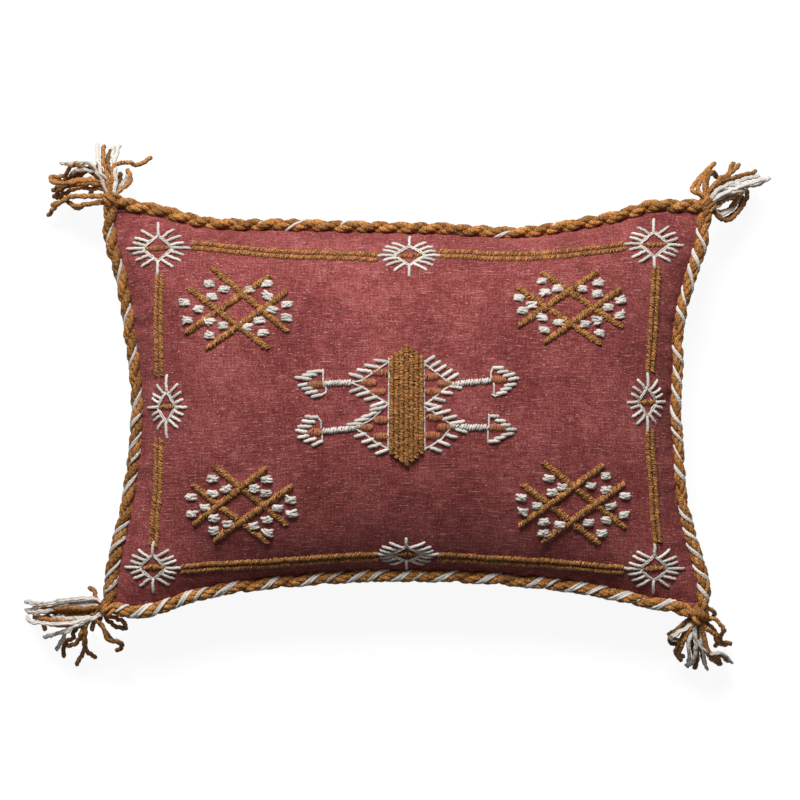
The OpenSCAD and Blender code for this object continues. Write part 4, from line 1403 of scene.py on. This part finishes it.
def zip_tape(name, node, side):
    """A woven tape under the edge of its panel, with a slight ripple along it."""
    along = np.linspace(-ZIP_HALF - TAPE_PAST, ZIP_HALF + TAPE_PAST, 181)
    across = np.array([TAPE_START, 2.5, 4.0, 6.0, 8.0, 10.0, 11.9, 12.0]) * side
    x, y = np.meshgrid(along, across, indexing="ij")
    ripple = 0.12 * ripples(x, 24, 31) * (np.abs(y) - TAPE_START) / 10
    points = zip_point(x, y, TAPE_LEVEL + ripple)
    index = np.arange(x.size).reshape(x.shape)
    faces = quads(index) if side > 0 else quads(index)[:, ::-1]
    uv = np.stack([x * MM, y * MM], -1).reshape(-1, 2)
    piece = mesh_piece(name, points, faces, uv)
    place(piece, TAPE, "pillow", "zip_tape", node)
    thicken(piece, 0.5)


def zip_stitching():
    """A row of machine stitches on the cover beside each edge of the zip."""
    yarn = Yarn()
    at = np.arange(-ZIP_HALF - 3, ZIP_HALF + 3, 3.2)
    for side in (-1, 1):
        offset = side * (SLOT_HALF + 3.0) * math.cos(ZIP_ANGLE)
        starts = np.stack([at, np.full(len(at), ZIP_Y + offset)], -1)
        stitch(yarn, starts, starts + [2.5, 0.0], 0.35, 0.28, dip=0.3, wobble=0.03, on=under)
    yarn.build("zip_stitching", SEWING, "pillow", "rose_cotton")


def zip_metal():
    """The CAD's own teeth, stops, slider and tab, with rounded edges and worn brass."""
    for node in ("zip_teeth_upper", "zip_teeth_lower", "zip_stops", "zip_slider", "zip_pull_tab"):
        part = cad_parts[node]
        part.data.materials.clear()
        part.data.materials.append(BRASS)
        edges = part.modifiers.new("edges", "BEVEL")
        edges.width = 0.15 * MM
        edges.segments = 2
        edges.limit_method = "ANGLE"


# ---- the insert inside the cover ----
INSERT_GAP = 8.0
CASING = 0.8


def insert_side(name, point, flip):
    """One half of the casing, a gap inside the cover."""
    s, t = cloth_grid(96, 64)
    points = point(*surface_parameters(s, t), INSERT_GAP)
    points[..., 2] += 0.6 * gathers(s, t, 60)
    index = np.arange(s.size).reshape(s.shape)
    return mesh_piece(name, points, quads(index)[:, ::-1] if flip else quads(index), flat_uv(s, t))


def insert():
    """The casing's two halves, and the wadding that fills them."""
    for name, point, flip in (("front", front_point, False), ("back", back_point, True)):
        casing = insert_side("insert_casing_" + name + "_cloth", point, flip)
        place(casing, CALICO, "pillow", "calico", "insert_casing_" + name)
        thicken(casing, CASING)
    s, t = cloth_grid(72, 48)
    inset = INSERT_GAP + CASING + 0.4
    top = front_point(*surface_parameters(s, t), inset)
    low = back_point(*surface_parameters(s, t), inset)
    rim = on_rim(s, t)
    top[rim] = low[rim] = (top[rim] + low[rim]) / 2
    above = np.arange(s.size).reshape(s.shape)
    below = above.copy()
    below[~rim] = s.size + np.arange((~rim).sum())
    points = np.concatenate([top.reshape(-1, 3), low[~rim]])
    fill = mesh_piece("insert_fill_wadding", points, np.concatenate([quads(above), quads(below)[:, ::-1]]))
    place(fill, WADDING, "pillow", "polyester_fill", "insert_fill")


stars()
border()
lattices()
middle_motif()
edge_cords()
seam_flange()
tassels()
zip_tape("zip_tape_upper_cloth", "zip_tape_upper", -1)
zip_tape("zip_tape_lower_cloth", "zip_tape_lower", 1)
zip_stitching()
zip_metal()
insert()


# ---- studio: pale floor, one large soft light from the top edge, and a straight-down camera ----
def floor():
    """A pale floor just under the pillow, which throws no light back at it."""
    size, drop = 4.0, -0.0005
    corners = [(-size, -size, drop), (size, -size, drop), (size, size, drop), (-size, size, drop)]
    mesh = bpy.data.meshes.new("floor")
    mesh.from_pydata(corners, [], [(0, 1, 2, 3)])
    plane = added("floor", mesh)
    graph = Graph("floor", 0.9)
    graph.shader.inputs["Emission Color"].default_value = (1, 1, 1, 1)
    graph.shader.inputs["Emission Strength"].default_value = 0.92
    mesh.materials.append(graph.finish((0.14, 0.14, 0.14)))
    plane.visible_diffuse = False


def soft_light(name, spot, energy, size):
    """A rectangular lamp at a spot, aimed at the pillow."""
    light = bpy.data.lights.new(name, "AREA")
    light.shape = "RECTANGLE"
    light.size, light.size_y = size
    light.energy = energy
    lamp = added(name, light)
    lamp.location = spot
    lamp.rotation_euler = (-Vector(spot)).to_track_quat("-Z", "Y").to_euler()


def camera():
    """Straight down from four metres, so that the seam's plane is a millimetre to a picture point."""
    height, middle, sensor = 4.0, (-0.0065, 0.005), 36.0
    view_width = 0.8
    lens = bpy.data.cameras.new("camera")
    lens.sensor_width = sensor
    lens.lens = sensor * (height - SEAM_HEIGHT * MM) / view_width
    eye = added("camera", lens)
    eye.location = (*middle, height)
    bpy.context.scene.camera = eye


def backdrop():
    """White all round: faint as a light, and as bright as the floor where it is seen."""
    world = bpy.data.worlds.new("studio")
    world.use_nodes = True
    nodes, links = world.node_tree.nodes, world.node_tree.links
    background = nodes["Background"]
    background.inputs["Color"].default_value = (1, 1, 1, 1)
    strength = nodes.new("ShaderNodeMapRange")
    strength.inputs["To Min"].default_value = 0.12
    strength.inputs["To Max"].default_value = 1.0
    links.new(nodes.new("ShaderNodeLightPath").outputs["Is Camera Ray"], strength.inputs["Value"])
    links.new(strength.outputs[0], background.inputs["Strength"])
    bpy.context.scene.world = world


def studio():
    """The floor, the lamp and the backdrop."""
    floor()
    soft_light("key", (-0.66, 3.72, 3.30), 305, (2.8, 1.9))
    backdrop()
    bpy.context.scene.view_settings.view_transform = "Standard"


studio()
camera()
